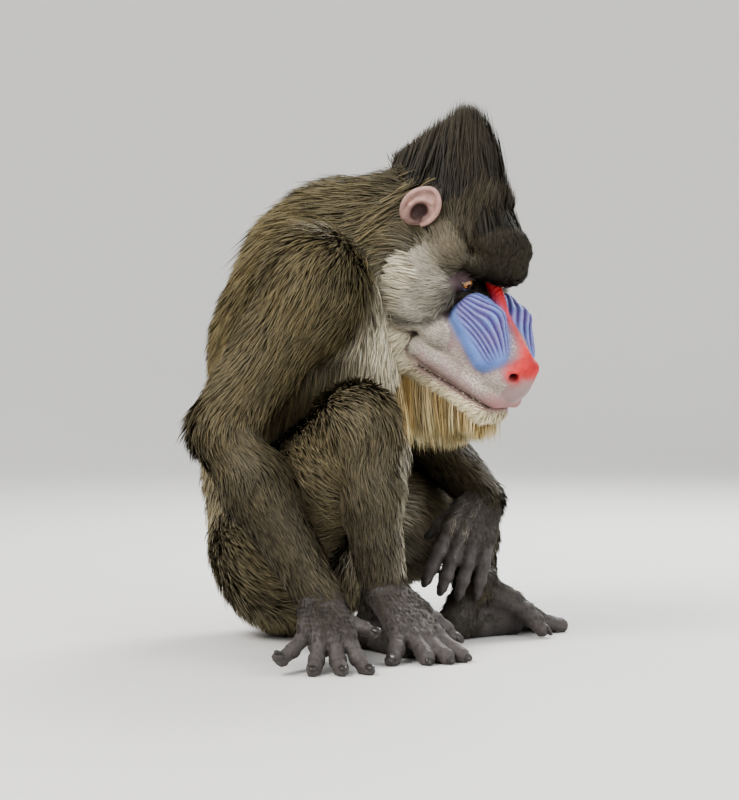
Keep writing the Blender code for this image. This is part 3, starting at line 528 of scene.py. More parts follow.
def surface(values, low, voxel, keep=None):
    """The zero surface as vertices and quads: one vertex in each voxel that it passes."""
    inside = values < 0
    count = np.zeros(np.array(values.shape) - 1, np.int8)
    for i, j, k in CORNERS:
        count += inside[i:i + count.shape[0], j:j + count.shape[1], k:k + count.shape[2]]
    cells = np.argwhere((count > 0) & (count < 8))
    if keep is not None:
        cells = cells[keep(low + voxel * (cells + 0.5))]
    corner = np.stack([values[tuple((cells + c).T)] for c in CORNERS], axis=1)
    total = np.zeros((len(cells), 3))
    crossings = np.zeros(len(cells))
    for a, b in EDGES:
        crossed = (corner[:, a] < 0) != (corner[:, b] < 0)
        t = corner[crossed, a] / (corner[crossed, a] - corner[crossed, b])
        total[crossed] += CORNERS[a] + t[:, None] * (CORNERS[b] - CORNERS[a])
        crossings[crossed] += 1
    vertices = low + voxel * (cells + total / crossings[:, None])
    number = np.full(count.shape, -1, np.int32)
    number[tuple(cells.T)] = np.arange(len(cells))
    quads = []
    for axis in range(3):
        step = np.zeros(3, int)
        step[axis] = 1
        u, v = (i for i in range(3) if i != axis)
        here = cells[(cells[:, u] > 0) & (cells[:, v] > 0)]
        a, b = values[tuple(here.T)] < 0, values[tuple((here + step).T)] < 0
        here, a = here[a != b], a[a != b]
        around = []
        for du, dv in ((0, 0), (-1, 0), (-1, -1), (0, -1)):
            other = here.copy()
            other[:, u] += du
            other[:, v] += dv
            around.append(number[tuple(other.T)])
        quad = np.stack(around, axis=1)
        flip = a if axis != 1 else ~a
        quad[~flip] = quad[~flip][:, ::-1]
        quads.append(quad[(quad >= 0).all(axis=1)])
    return vertices, np.concatenate(quads)


def vertex_normals(vertices, quads):
    across = vertices[quads[:, 2]] - vertices[quads[:, 0]]
    along = vertices[quads[:, 3]] - vertices[quads[:, 1]]
    face = np.cross(across, along)
    normals = np.zeros_like(vertices)
    for k in range(4):
        for axis in range(3):
            normals[:, axis] += np.bincount(quads[:, k], face[:, axis], len(vertices))
    return normals / np.maximum(np.linalg.norm(normals, axis=1, keepdims=True), 1e-12)


def unit(vectors):
    return vectors / np.maximum(np.linalg.norm(vectors, axis=-1, keepdims=True), 1e-12)


WAVES = unit(RNG.normal(size=(12, 3)))
WAVE_STARTS = RNG.uniform(0, math.tau, (3, 12))


def waver(points, size, channel=0):
    """A smooth random value near -1 to 1 at each point, which changes over about this size."""
    turns = points @ WAVES.T * (math.tau / size) * np.linspace(0.6, 1.5, 12)
    return np.sin(turns + WAVE_STARTS[channel]).sum(axis=1) / 4


# A kind of coat: length, lift in degrees off the skin, width, tufts for each square millimetre, the hair's
# colour at its root and tip, and the colour of the skin under it
Coat = namedtuple("Coat", "length lift width density dark light skin")
MM2 = 1e6
BARE = 0.004, 12, 0.0006, 0.0, (0.2, 0.2, 0.2), (0.5, 0.5, 0.5)
COATS = {
    "back": Coat(0.034, 24, 0.0018, 0.38, (0.042, 0.035, 0.023), (0.195, 0.157, 0.076), (0.05, 0.042, 0.034)),
    "withers": Coat(0.044, 22, 0.0019, 0.38, (0.036, 0.03, 0.02), (0.175, 0.141, 0.07), (0.045, 0.04, 0.03)),
    "neck": Coat(0.046, 22, 0.0019, 0.4, (0.032, 0.027, 0.019), (0.155, 0.126, 0.066), (0.045, 0.04, 0.03)),
    "flank": Coat(0.032, 24, 0.002, 0.32, (0.09, 0.078, 0.055), (0.33, 0.28, 0.175), (0.1, 0.08, 0.07)),
    "belly": Coat(0.03, 24, 0.002, 0.28, (0.23, 0.205, 0.16), (0.56, 0.52, 0.42), (0.22, 0.18, 0.15)),
    "chest": Coat(0.036, 24, 0.002, 0.32, (0.23, 0.2, 0.145), (0.6, 0.54, 0.4), (0.22, 0.18, 0.15)),
    "rump": Coat(0.026, 24, 0.002, 0.3, (0.07, 0.06, 0.045), (0.24, 0.205, 0.13), (0.1, 0.08, 0.09)),
    "tail": Coat(0.014, 22, 0.0014, 0.6, (0.12, 0.1, 0.07), (0.42, 0.36, 0.24), (0.1, 0.08, 0.07)),
    "shoulder": Coat(0.031, 22, 0.0018, 0.38, (0.034, 0.028, 0.02), (0.158, 0.128, 0.066),
                     (0.045, 0.04, 0.03)),
    "arm": Coat(0.024, 18, 0.0017, 0.42, (0.027, 0.023, 0.018), (0.124, 0.102, 0.058), (0.04, 0.035, 0.03)),
    "forearm": Coat(0.021, 18, 0.0015, 0.52, (0.024, 0.021, 0.017), (0.108, 0.09, 0.055),
                    (0.036, 0.032, 0.028)),
    "wrist": Coat(0.014, 18, 0.0013, 0.6, (0.022, 0.02, 0.018), (0.085, 0.073, 0.052), (0.035, 0.03, 0.028)),
    "paw": Coat(0.0095, 15, 0.0009, 0.9, (0.022, 0.019, 0.017), (0.09, 0.078, 0.058), (0.066, 0.057, 0.054)),
    "digit": Coat(0.006, 14, 0.0007, 0.45, (0.022, 0.019, 0.017), (0.08, 0.07, 0.055), (0.074, 0.064, 0.061)),
    "thigh": Coat(0.03, 22, 0.0018, 0.38, (0.046, 0.039, 0.028), (0.205, 0.171, 0.1), (0.06, 0.05, 0.045)),
    "knee": Coat(0.022, 18, 0.0016, 0.48, (0.036, 0.031, 0.024), (0.158, 0.132, 0.082), (0.05, 0.045, 0.038)),
    "shin": Coat(0.018, 18, 0.0015, 0.52, (0.032, 0.028, 0.023), (0.13, 0.11, 0.072), (0.045, 0.04, 0.033)),
    "crown": Coat(0.03, 30, 0.0015, 0.62, (0.013, 0.011, 0.009), (0.058, 0.048, 0.029), (0.03, 0.025, 0.022)),
    "brow": Coat(0.0085, 24, 0.001, 1.6, (0.013, 0.011, 0.009), (0.062, 0.052, 0.033), (0.03, 0.025, 0.022)),
    "temple": Coat(0.014, 22, 0.0011, 1.2, (0.04, 0.034, 0.026), (0.175, 0.148, 0.1), (0.05, 0.042, 0.038)),
    "cheek": Coat(0.018, 20, 0.0012, 1.15, (0.19, 0.17, 0.138), (0.56, 0.52, 0.43), (0.18, 0.15, 0.135)),
    "muzzle": Coat(0.0055, 16, 0.0007, 1.3, (0.33, 0.285, 0.24), (0.7, 0.65, 0.56), (0.3, 0.215, 0.205)),
    "jaw": Coat(0.018, 18, 0.0011, 1.15, (0.4, 0.32, 0.2), (0.8, 0.71, 0.5), (0.28, 0.2, 0.17)),
    "lip": Coat(0.0035, 14, 0.0006, 0.5, (0.25, 0.2, 0.18), (0.55, 0.5, 0.43), (0.3, 0.12, 0.115)),
    "swelling": Coat(*BARE, (0.15, 0.245, 0.56)),
    "strip": Coat(*BARE, (0.56, 0.03, 0.025)),
    "nose": Coat(*BARE, (0.54, 0.035, 0.032)),
    "ear": Coat(0.007, 24, 0.0008, 0.1, (0.2, 0.17, 0.14), (0.45, 0.4, 0.33), (0.4, 0.25, 0.215)),
}
KINDS = list(COATS)

# How far one kind of coat fades into the next, on the trunk and limbs, and on the face and paws
NEARNESS = 0.007
CLOSE_NEARNESS = 0.0022
CLOSE_KINDS = ("digit", "paw", "lip", "strip", "swelling", "nose", "muzzle", "brow", "jaw")


def coat_weights(shapes, points):
    """How much each kind of coat counts at each point, the way that hair lies there, and the nearest part."""
    best = np.full(len(points), np.inf)
    rows = []
    for shape in shapes:
        rows.append(distance(shape, points))
        best = np.minimum(best, rows[-1])
    weights = np.zeros((len(points), len(KINDS)))
    lie = np.zeros((len(points), 3))
    nearest = np.zeros(len(points), int)
    top = np.full(len(points), -1.0)
    for index, (shape, row) in enumerate(zip(shapes, rows)):
        fade = CLOSE_NEARNESS if shape.hair in CLOSE_KINDS else NEARNESS
        share = np.exp(-np.maximum(row - best, 0) / fade)
        weights[:, KINDS.index(shape.hair)] += share
        lie += share[:, None] * unit(shape.lie)
        nearest[share > top] = index
        top = np.maximum(top, share)
    return weights / weights.sum(axis=1, keepdims=True), lie, nearest


def coat_value(weights, name):
    return weights @ np.array([getattr(COATS[kind], name) for kind in KINDS], float)


def share_of(weights, *kinds):
    return weights[:, [KINDS.index(kind) for kind in kinds]].sum(axis=1)


# Bodies of shapes, and the meshes of the skin

TRUNK = trunk_shapes()
LIMBS = [shape for side in SIDES for shape in arm_shapes(side) + leg_shapes(side)]
HEAD = skull_shapes() + muzzle_shapes()
JAW = jaw_shapes()
HANDS = {f"hand_{side}": hand_shapes(side) for side in SIDES}
PAWS = HANDS | {f"foot_{side}": foot_shapes(side) for side in SIDES}
EARS = {side: ear_shapes(side) for side in SIDES}


def eye_centre(side):
    return beside(EYE_PLACE, side) + SHIFT


def face_cuts():
    """The nostrils, and the hollows that open each orbit to the front and side."""
    cuts = []
    for side in SIDES.values():
        mouth, end = head_point(side * 0.0245, 0.127, -0.06), head_point(side * 0.01, 0.106, -0.055)
        cuts.append(limb(mouth, 0.0062, end, 0.0034, "nose", "head", None, 0.002))
        orbit, opening = head_point(side * 0.038, 0.011, -0.009), head_point(side * 0.06, 0.03, 0.002)
        cuts.append(limb(orbit, 0.0095, opening, 0.0135, "brow", "head", None, 0.005))
    return cuts


LID_GAP = 0.0062
LID_CORNER = 0.0118
LID_THICK = 0.0024
LID_REACH = 0.028


def lid_opening(points, side):
    """How far each point is out of the almond between the lids, and its place in the eye's measures."""
    at = (points - np.array(eye_centre(side))) @ HEAD_AXES
    almond = np.abs(at[:, 2] - 0.0006) - LID_GAP * (1 - (at[:, 0] / LID_CORNER) ** 2)
    return almond, at


def with_lids(values, low, voxel):
    """Lids of even thickness over each eyeball, open in an almond."""
    for side in SIDES:
        centre = np.array(eye_centre(side))
        start = np.maximum(np.floor((centre - LID_REACH - low) / voxel).astype(int), 0)
        stop = np.minimum(np.ceil((centre + LID_REACH - low) / voxel).astype(int), values.shape)
        box = tuple(slice(a, b) for a, b in zip(start, stop))
        points = grid_points(low, voxel, start, stop)
        almond, at = lid_opening(points, side)
        out = np.linalg.norm(at, axis=1)
        lid = smooth_min(values[box].reshape(-1), out - EYE_RADIUS - LID_THICK, 0.004)
        opening = np.maximum.reduce([almond, -at[:, 1], EYE_RADIUS - 0.0015 - out, out - EYE_RADIUS - 0.01])
        values[box] = -smooth_min(-lid, opening, 0.0008).reshape(values[box].shape)
    return values


def in_face(points, back, rim):
    """Whether each point lies in the block of the fine face, made smaller at its back and round its rim."""
    x, forward, height = head_measures(points).T
    inside = (height > rim - 0.152) & (height < 0.077 - rim) & (np.abs(x) < 0.084 - rim)
    return inside & (forward > FACE_BACK + back)


def skin_meshes():
    """The coarse body, the fine face, paws and ears, each as vertices, quads and its shapes."""
    shapes = TRUNK + LIMBS + HEAD + JAW
    groups = [(0.02, TRUNK + LIMBS), (0.01, HEAD), (0.0015, JAW)]
    low, high = np.array(cad_box[0]) - 0.004, np.array(cad_box[1]) + 0.004
    values = field(groups, low, high, BODY_VOXEL)
    body = surface(values, low, BODY_VOXEL, lambda points: ~in_face(points, 0.006, 0.002))

    block = product((-0.08, 0.08), (FACE_BACK, 0.136), (-0.142, 0.072))
    corners = np.array([head_place(*corner) for corner in block])
    low, high = corners.min(0), corners.max(0)
    values = with_lids(field(groups, low, high, FACE_VOXEL, face_cuts()), low, FACE_VOXEL)
    face = surface(values, low, FACE_VOXEL, lambda points: in_face(points, 0, 0))
    made = [("body", *body, shapes), ("face", *face, shapes)]

    for name, shapes in PAWS.items():
        low, high = box_round(shapes, 0.006)
        values = field([(0.001, shapes)], low, high, PAW_VOXEL)
        made.append((name, *surface(values, low, PAW_VOXEL), shapes))
    for side, (shell, hollow, folds) in EARS.items():
        low, high = box_round(shell, 0.004)
        values = field([(0.001, shell)], low, high, EAR_VOXEL, hollow)
        for fold in folds:
            blended_into(values, low, EAR_VOXEL, fold)
        made.append((f"ear_{side}", *surface(values, low, EAR_VOXEL), shell))
    return made


# Relief and colour of the face, by the head's own measures

SWELLING_AXIS = (0.028, 0.029, -0.036), (0.028, 0.09, -0.056)
GROOVE_STEP = math.radians(18)
GROOVE_WIDTH = math.radians(4.5)
GROOVE_DEPTH = 0.0024
GROOVES_FROM = math.radians(-60)
GROOVES_TO = math.radians(112)

# Colours of bare skin, with painted shade in the swellings' grooves, the nostrils, the mouth line and the
# ear's cup and lower part
RIDGE_BLUE = (0.23, 0.365, 0.74)
LILAC = (0.33, 0.3, 0.56)
GROOVE_PURPLE_AND_SHADE = (0.05, 0.022, 0.13)
DEEP_RED = (0.33, 0.012, 0.022)
MOTTLED_RED = (0.4, 0.02, 0.03)
LID_BROWN = (0.075, 0.04, 0.05)
LID_RIM = (0.02, 0.012, 0.012)
NOSTRIL_SHADE = (0.03, 0.004, 0.005)
ROUND_EAR = (0.014, 0.011, 0.009)
MOUTH_SHADE = (0.03, 0.012, 0.013)
RUMP_BLUE = (0.235, 0.195, 0.43)
RUMP_LILAC = (0.33, 0.2, 0.36)
RUMP_RED = (0.5, 0.095, 0.13)
PAD_BROWN = (0.33, 0.2, 0.19)
EAR_PIT_SHADE = (0.045, 0.022, 0.02)
EAR_LOWER_SHADE = (0.13, 0.08, 0.068)


def swelling_place(measures, side):
    """Turn about a swelling's axis from its top towards its outer side, and how far along it a point lies."""
    start, end = (np.array((side * x, f, h)) for x, f, h in SWELLING_AXIS)
    axis = unit(end - start)
    length = np.linalg.norm(end - start)
    out = np.array((side, 0.0, 0.0))
    out = unit(out - axis * (out @ axis))
    top = np.cross(axis, out) * side
    if top[2] < 0:
        top = -top
    offset = measures - start
    return np.arctan2(offset @ out, offset @ top), offset @ axis / length


def groove(measures):
    """From 0 to 1, how deep in a groove of the swellings each point lies, and its place on them."""
    deep = np.zeros(len(measures))
    on = np.zeros(len(measures))
    for side in SIDES.values():
        turn, along = swelling_place(measures, side)
        bent = turn - 0.75 * np.clip(1 - along, 0, 1.35) ** 2 + 0.1
        nearest = (bent + GROOVE_STEP / 2) % GROOVE_STEP - GROOVE_STEP / 2
        mine = (measures[:, 0] * side > 0.0) & (turn > GROOVES_FROM) & (turn < GROOVES_TO)
        fade = rising(along, -0.3, 0.16) * falling(along, 1.12, 0.2)
        edge = rising(turn, GROOVES_FROM, 0.1) * falling(turn, GROOVES_TO, 0.3)
        deep = np.where(mine, np.exp(-((nearest / GROOVE_WIDTH) ** 2)) * fade * edge, deep)
        on = np.where(mine, fade * edge, on)
    return deep, on


def mix(a, b, share):
    a, b = np.asarray(a), np.asarray(b)
    return a + (b - a) * np.clip(share, 0, 1)[:, None]


def face_colour(colour, points, weights):
    """The skin's colour: blue swellings with purple grooves deepened by painted shade, red strip and nose,
    dark lids, and painted shade in the nostrils, cheek fold and mouth line.
    """
    measures = head_measures(points)
    deep, on = groove(measures)
    swollen, red = share_of(weights, "swelling"), share_of(weights, "strip", "nose")
    ridge = np.array(RIDGE_BLUE) * (1 + 0.12 * waver(points, 0.016)[:, None])
    colour = mix(colour, mix(ridge, LILAC, 0.5 + 0.5 * waver(points, 0.028, 1)), swollen * on * 0.8)
    # The grooves' own purple, deepened further as painted shade
    colour = mix(colour, GROOVE_PURPLE_AND_SHADE, np.sqrt(deep) * swollen)
    colour = mix(colour, DEEP_RED, red * np.clip((0.05 - measures[:, 1]) / 0.05, 0, 0.8))
    colour = mix(colour, MOTTLED_RED, red * np.clip(waver(points, 0.009), 0, 1) * 0.5)
    for side in SIDES:
        almond, at = lid_opening(points, side)
        out = np.linalg.norm(at, axis=1)
        near = np.clip(1 - (out - EYE_RADIUS - 0.002) / 0.012, 0, 1) * (measures[:, 1] < 0.014)
        colour = mix(colour, LID_BROWN, near * 0.85)
        rim = np.exp(-((almond / 0.0012) ** 2)) * (out < EYE_RADIUS + 0.004)
        colour = mix(colour, LID_RIM, rim)
    for side in SIDES.values():
        # Painted shade inside the nostrils
        hole = np.linalg.norm(measures - np.array((side * 0.015, 0.1125, -0.0565)), axis=1)
        colour = mix(colour, NOSTRIL_SHADE, np.clip(1.5 - hole / 0.006, 0, 1))
    colour = mix(colour, ROUND_EAR, falling(off_ears(points), 1.35, 0.15))
    # Painted shade: the skin darkened in the cheek fold, outside the swellings
    colour = mix(colour, colour * 0.25, painted_fold_shade(points) * (1 - swollen) * 0.6)
    # Painted shade along the crease between the lips
    return mix(colour, MOUTH_SHADE, np.exp(-((mouth_gap(measures) / 0.002) ** 2)))


def skin_colour(name, points, weights):
    """The colour of the skin. The coat's own colours hang on the same weights."""
    if name.startswith("ear"):
        return ear_colour(name, points)
    colour = coat_value(weights, "skin") * (1 + 0.1 * waver(points, 0.03)[:, None])
    if name == "face":
        colour = face_colour(colour, points, weights)
    bluish, flushed = rump_patch(points)
    colour = mix(colour, mix(RUMP_BLUE, RUMP_LILAC, 0.5 + 0.5 * waver(points, 0.03)), bluish)
    colour = mix(colour, RUMP_RED, flushed * 0.85)
    colour = mix(colour, PAD_BROWN, callosities(points))
    return np.clip(colour, 0.003, 1)


def mouth_gap(measures):
    """Height over the line between the lips, in metres, and far from it behind the corner of the mouth."""
    _, forward, height = measures.T
    line = -0.1235 + 0.17 * (forward - 0.025) + 3.6 * np.clip(forward - 0.1, 0, 1) ** 2
    return np.where((forward > 0.02) & (forward < 0.136), height - line, 1.0)


RUMP_CENTRE = np.array((0.0, 0.15, 0.082))
CALLOSITY = (0.034, 0.132, 0.03)


def rump_patch(points):
    """The bare lilac skin under the root of the tail, and the flush along its middle."""
    at = points - RUMP_CENTRE - STEP
    away = np.linalg.norm(at / (0.074, 0.06, 0.056), axis=1) + 0.05 * waver(points, 0.06)
    middle = np.linalg.norm(at / (0.026, 0.06, 0.048), axis=1) + 0.1 * waver(points, 0.03, 1)
    return falling(away, 1.0, 0.22), falling(middle, 1.0, 0.75)


def callosities(points):
    """1 on the two hard pads that it sits on."""
    at = points - STEP
    at[:, 0] = np.abs(at[:, 0])
    return falling(np.linalg.norm((at - CALLOSITY) / (0.02, 0.04, 0.024), axis=1), 1.0, 0.2)


def face_rise(points, weights):
    """How far the face's skin rises: grooves, folds of the lids, mouth line, brow, wrinkles and pores."""
    measures = head_measures(points)
    deep, on = groove(measures)
    swollen, strip = share_of(weights, "swelling"), share_of(weights, "strip")
    rise = swollen * (0.0007 * on - GROOVE_DEPTH * deep)
    for side in SIDES:
        almond, at = lid_opening(points, side)
        near = (np.linalg.norm(at, axis=1) < EYE_RADIUS + 0.007) * (at[:, 1] > 0)
        rise -= 0.0008 * (np.exp(-(((almond - 0.0042) / 0.0011) ** 2)) * near)
    rise -= 0.0024 * np.exp(-((mouth_gap(measures) / 0.0018) ** 2))
    rise += 0.0004 * waver(points, 0.006) * share_of(weights, "brow")
    wrinkles = np.sin(measures[:, 1] * math.tau / 0.0042 + 2 * waver(points, 0.02))
    rise += 0.0003 * wrinkles * (strip * (measures[:, 1] < 0.045))
    folds = np.sin(measures[:, 1] * math.tau / 0.0031 + 3 * waver(points, 0.018, 1) + 30 * measures[:, 0])
    rise = rise + 0.00006 * folds * swollen * on + 0.00022 * waver(points, 0.0045, 2) * swollen
    return rise + 0.00022 * waver(points, 0.0038) * (share_of(weights, "nose") + strip)


def relief(name, points, normals, weights):
    """The points with the face's and paws' relief."""
    if name == "face":
        points = points + normals * face_rise(points, weights)[:, None]
    if name.startswith(("hand", "foot")):
        rise = 0.00035 * waver(points, 0.007) + 0.0002 * waver(points, 0.0035, 1)
        points = points + normals * rise[:, None]
    points[:, 2] = np.maximum(points[:, 2], 0.0)
    return points


def colour_attribute(mesh, colours):
    attribute = mesh.color_attributes.new("Col", "FLOAT_COLOR", "POINT")
    rgba = np.ones((len(colours), 4), np.float32)
    rgba[:, :3] = colours
    attribute.data.foreach_set("color", rgba.ravel())


def mesh_from(name, vertices, loops, starts, totals):
    mesh = bpy.data.meshes.new(name)
    mesh.vertices.add(len(vertices))
    mesh.vertices.foreach_set("co", np.asarray(vertices, np.float32).ravel())
    mesh.loops.add(len(loops))
    mesh.loops.foreach_set("vertex_index", np.asarray(loops, np.int32))
    mesh.polygons.add(len(starts))
    mesh.polygons.foreach_set("loop_start", np.asarray(starts, np.int32))
    mesh.polygons.foreach_set("loop_total", np.asarray(totals, np.int32))
    mesh.polygons.foreach_set("use_smooth", np.ones(len(starts), bool))
    mesh.update(calc_edges=True)
    return mesh


def placed(name, data):
    """A new object in the scene."""
    obj = bpy.data.objects.new(name, data)
    bpy.context.scene.collection.objects.link(obj)
    return obj


def smooth_mesh(name, bm):
    """The mesh of a form built vertex by vertex, shaded smooth."""
    mesh = bpy.data.meshes.new(name)
    bm.to_mesh(mesh)
    bm.free()
    for polygon in mesh.polygons:
        polygon.use_smooth = True
    return mesh


def shown(name, mesh, material, replaces=()):
    obj = placed(name, mesh)
    mesh.materials.append(material)
    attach(obj, "root")
    if replaces:
        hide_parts(*replaces)
    return obj


def new_material(name, roughness, specular=0.5):
    """A Principled material that reads the mesh's own colours."""
    made = bpy.data.materials.new(name)
    made.use_nodes = True
    nodes, links = made.node_tree.nodes, made.node_tree.links
    shader = nodes["Principled BSDF"]
    colours = nodes.new("ShaderNodeAttribute")
    colours.attribute_name = "Col"
    links.new(colours.outputs["Color"], shader.inputs["Base Color"])
    shader.inputs["Roughness"].default_value = roughness
    shader.inputs["Specular IOR Level"].default_value = specular
    return made


def bumped(material, scale, strength, distance_m):
    """Fine relief of pores and creases."""
    nodes, links = material.node_tree.nodes, material.node_tree.links
    where = nodes.new("ShaderNodeTexCoord")
    cells = nodes.new("ShaderNodeTexVoronoi")
    cells.inputs["Scale"].default_value = scale
    grain = nodes.new("ShaderNodeTexNoise")
    grain.inputs["Scale"].default_value = scale * 0.35
    grain.inputs["Detail"].default_value = 6.0
    blend = nodes.new("ShaderNodeMix")
    blend.inputs[0].default_value = 0.5
    for texture, output, socket in ((cells, "Distance", 2), (grain, "Fac", 3)):
        links.new(where.outputs["Object"], texture.inputs["Vector"])
        links.new(texture.outputs[output], blend.inputs[socket])
    bump = nodes.new("ShaderNodeBump")
    bump.inputs["Strength"].default_value = strength
    bump.inputs["Distance"].default_value = distance_m
    links.new(blend.outputs[0], bump.inputs["Height"])
    links.new(bump.outputs["Normal"], nodes["Principled BSDF"].inputs["Normal"])
    return material


def build_skin(meshes):
    """One skin over every node of flesh. Gives each mesh's points, normals, quads, weights, lie and parts."""
    grown = []
    vertices, quads, colours = [], [], []
    offset = 0
    for name, points, faces, shapes in meshes:
        weights, lie, nearest = coat_weights(shapes, points)
        points = relief(name, points, vertex_normals(points, faces), weights)
        grown.append((name, points, vertex_normals(points, faces), faces, weights, lie, nearest, shapes))
        vertices.append(points)
        quads.append(faces + offset)
        colours.append(skin_colour(name, points, weights))
        offset += len(points)
    vertices, quads = np.concatenate(vertices), np.concatenate(quads)
    starts = np.arange(len(quads)) * 4
    mesh = mesh_from("skin", vertices, quads.ravel(), starts, np.full(len(quads), 4))
    colour_attribute(mesh, np.concatenate(colours))
    material = bumped(new_material("bare skin", 0.58, 0.36), 900.0, 0.45, 0.0007)
    nodes = [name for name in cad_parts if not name.startswith("eye")]
    long_haired = ("crest", "beard", "neck", "ruff_left", "ruff_right")
    shown("skin", mesh, material, [name for name in nodes if name not in long_haired])
    return grown


def ear_measures(points, side):
    """Places outward, ahead and up from the middle of this side's ear."""
    return (points - np.array(beside(EAR_PLACE, side) + SHIFT)) @ ear_axes(side) * (SIDES[side], 1, 1)


def ear_colour(name, points):
    at = ear_measures(points, name[4:])
    colour = np.tile(np.array(COATS["ear"].skin), (len(points), 1))
    # Painted shade in the pit of the ear's cup
    pit = np.linalg.norm((at - (0.0, 0.003, -0.0065)) / (0.01, 0.012, 0.014), axis=1)
    colour = mix(colour, EAR_PIT_SHADE, falling(pit, 1.25, 0.5) * 0.95)
    # Painted shade: the ear darker towards the bottom
    colour = mix(colour, EAR_LOWER_SHADE, falling(at[:, 2], -0.006, 0.016) * 0.6)
    return colour * (1 + 0.08 * waver(points, 0.012)[:, None])


def off_ears(points):
    """How far each point lies from the nearer ear: 1 at its rim and root."""
    away = [np.linalg.norm((ear_measures(points, side) + (0.01, 0, 0)) / (0.03, 0.019, 0.024), axis=1)
            for side in SIDES]
    return np.minimum(*away)


def near_ear(points):
    """1 within the ears' cups and rims, where the body's own tufts would poke through."""
    return falling(off_ears(points), 1.1, 0.1)


# Hair. PATCH is the size of a tuft's own place on the unwrapped skin

PATCH = 0.003
HAIR_REST = 0.0004
ROOT_DEPTH = 0.0008
TWIST = 0.45
COAT_DROOP = 0.1
COAT_PULL = 0.34
MOST_TUFTS = 38000
MOST_TRIANGLES = 195000
SHORT_HAIRED = ("face", "jaw")
THINNED = {"body": 0.54, "face": 0.9}
PAW_THINNED = 0.42


def ribbons(name, lines, across, normals, colours, root_uv, material, replaces=()):
    """Thin tapered ribbons: lines is tufts x (segments + 1) x 3, across half the width at each level."""
    count, levels = lines.shape[:2]
    sides = levels - 1
    per = 2 * sides + 1
    level = np.append(np.repeat(np.arange(sides), 2), sides)
    sign = np.append(np.tile((-1.0, 1.0), sides), 0.0)
    reach = across[:, np.minimum(level, sides - 1)]
    vertices = lines[:, level] + reach * sign[:, None]
    vertices[..., 2] = np.maximum(vertices[..., 2], HAIR_REST)
    shade = normals[:, level] + unit(reach) * sign[:, None] * 0.45
    uv = root_uv[:, None] + np.stack([PATCH * 0.5 * sign, PATCH * level / sides], axis=1)
    pattern = [a + k for a in range(0, per - 3, 2) for k in (0, 1, 3, 2)] + [per - 3, per - 2, per - 1]
    loops = (np.array(pattern)[None, :] + per * np.arange(count)[:, None]).ravel()
    totals = np.tile([4] * (sides - 1) + [3], count)
    starts = np.concatenate([[0], np.cumsum(totals)[:-1]])
    mesh = mesh_from(name, vertices.reshape(-1, 3), loops, starts, totals)
    colour_attribute(mesh, colours[:, level].reshape(-1, 3))
    layer = mesh.uv_layers.new(name="OFBake")
    layer.data.foreach_set("uv", uv.reshape(-1, 2)[loops].astype(np.float32).ravel())
    mesh.normals_split_custom_set_from_vertices(unit(shade.reshape(-1, 3)).astype(np.float32))
    return shown(name, mesh, material, replaces)


def clumped(lines, roots, size, pull):
    """Draws each tuft's tip towards the middle of its clump."""
    warp = np.stack([waver(roots, size * 4, k) for k in range(3)], axis=1) * size * 0.8
    cell = np.floor((roots + warp) / size).astype(np.int64)
    key = cell @ np.array((73856093, 19349663, 83492791))
    _, member = np.unique(key, return_inverse=True)
    amount = np.bincount(member)
    levels = lines.shape[1]
    for level in range(1, levels):
        t = level / (levels - 1)
        middle = np.stack([np.bincount(member, lines[:, level, k]) / amount for k in range(3)], axis=1)
        lines[:, level] += (middle[member] - lines[:, level]) * (pull * t**1.5)
    return lines


def grow(roots, normals, lie, length, lift, width, droop, segments, clump, pull, aim=None):
    """Lines of hair from their roots, with the half widths and shading normals at each level."""
    count = len(roots)
    lie = unit(lie - normals * (lie * normals).sum(axis=1, keepdims=True))
    lines = np.empty((count, segments + 1, 3))
    lines[:, 0] = roots - normals * ROOT_DEPTH
    lift = np.radians(lift)
    for k in range(segments):
        t = (k + 0.5) / segments
        angle = lift * (1.25 - 0.85 * t)
        way = lie * np.cos(angle)[:, None] + normals * np.sin(angle)[:, None]
        if aim is not None:
            way = unit(way * (1 - t) * 0.55 + aim * (0.45 + 0.55 * t))
        way[:, 2] -= droop * t
        lines[:, k + 1] = lines[:, k] + unit(way) * (length / segments)[:, None]
    lines = clumped(lines, roots, clump, pull)
    ways = unit(np.diff(lines, axis=1))
    twist = RNG.normal(0, TWIST, count)[:, None]
    facing = normals[:, None] * np.ones((1, segments, 1))
    side = unit(np.cross(ways, facing))
    face = np.cross(side, ways)
    side = side * np.cos(twist)[..., None] + face * np.sin(twist)[..., None]
    t = np.arange(segments) / segments
    taper = np.clip(0.62 + 1.3 * t, 0, 1) * (1 - t**2.2)
    across = side * (width[:, None] * taper[None, :] / 2)[..., None]
    shade = unit(face * 0.45 + facing * 0.75)
    return lines, across, np.concatenate([shade, shade[:, -1:]], axis=1)


def tinted(dark, light, segments):
    """Each level's colour from root to tip, a little different for each tuft."""
    count = len(dark)
    own = np.clip(1 + RNG.normal(0, 0.2, count), 0.45, 1.7)[:, None]
    warm = 1 + RNG.normal(0, 0.03, (count, 1)) * np.array((1.0, 0.2, -1.0))
    made = np.empty((count, segments + 1, 3))
    for level in range(segments + 1):
        share = np.clip(level / segments * 1.15, 0, 1) ** 1.2
        made[:, level] = np.clip((dark + (light - dark) * share) * own * warm, 0.002, 0.95)
    return made


def split_quads(points, quads):
    """Two triangles for each quad, with their areas."""
    triangles = np.concatenate([quads[:, [0, 1, 2]], quads[:, [0, 2, 3]]])
    a, b, c = (points[triangles[:, k]] for k in range(3))
    return triangles, np.linalg.norm(np.cross(b - a, c - a), axis=1) / 2


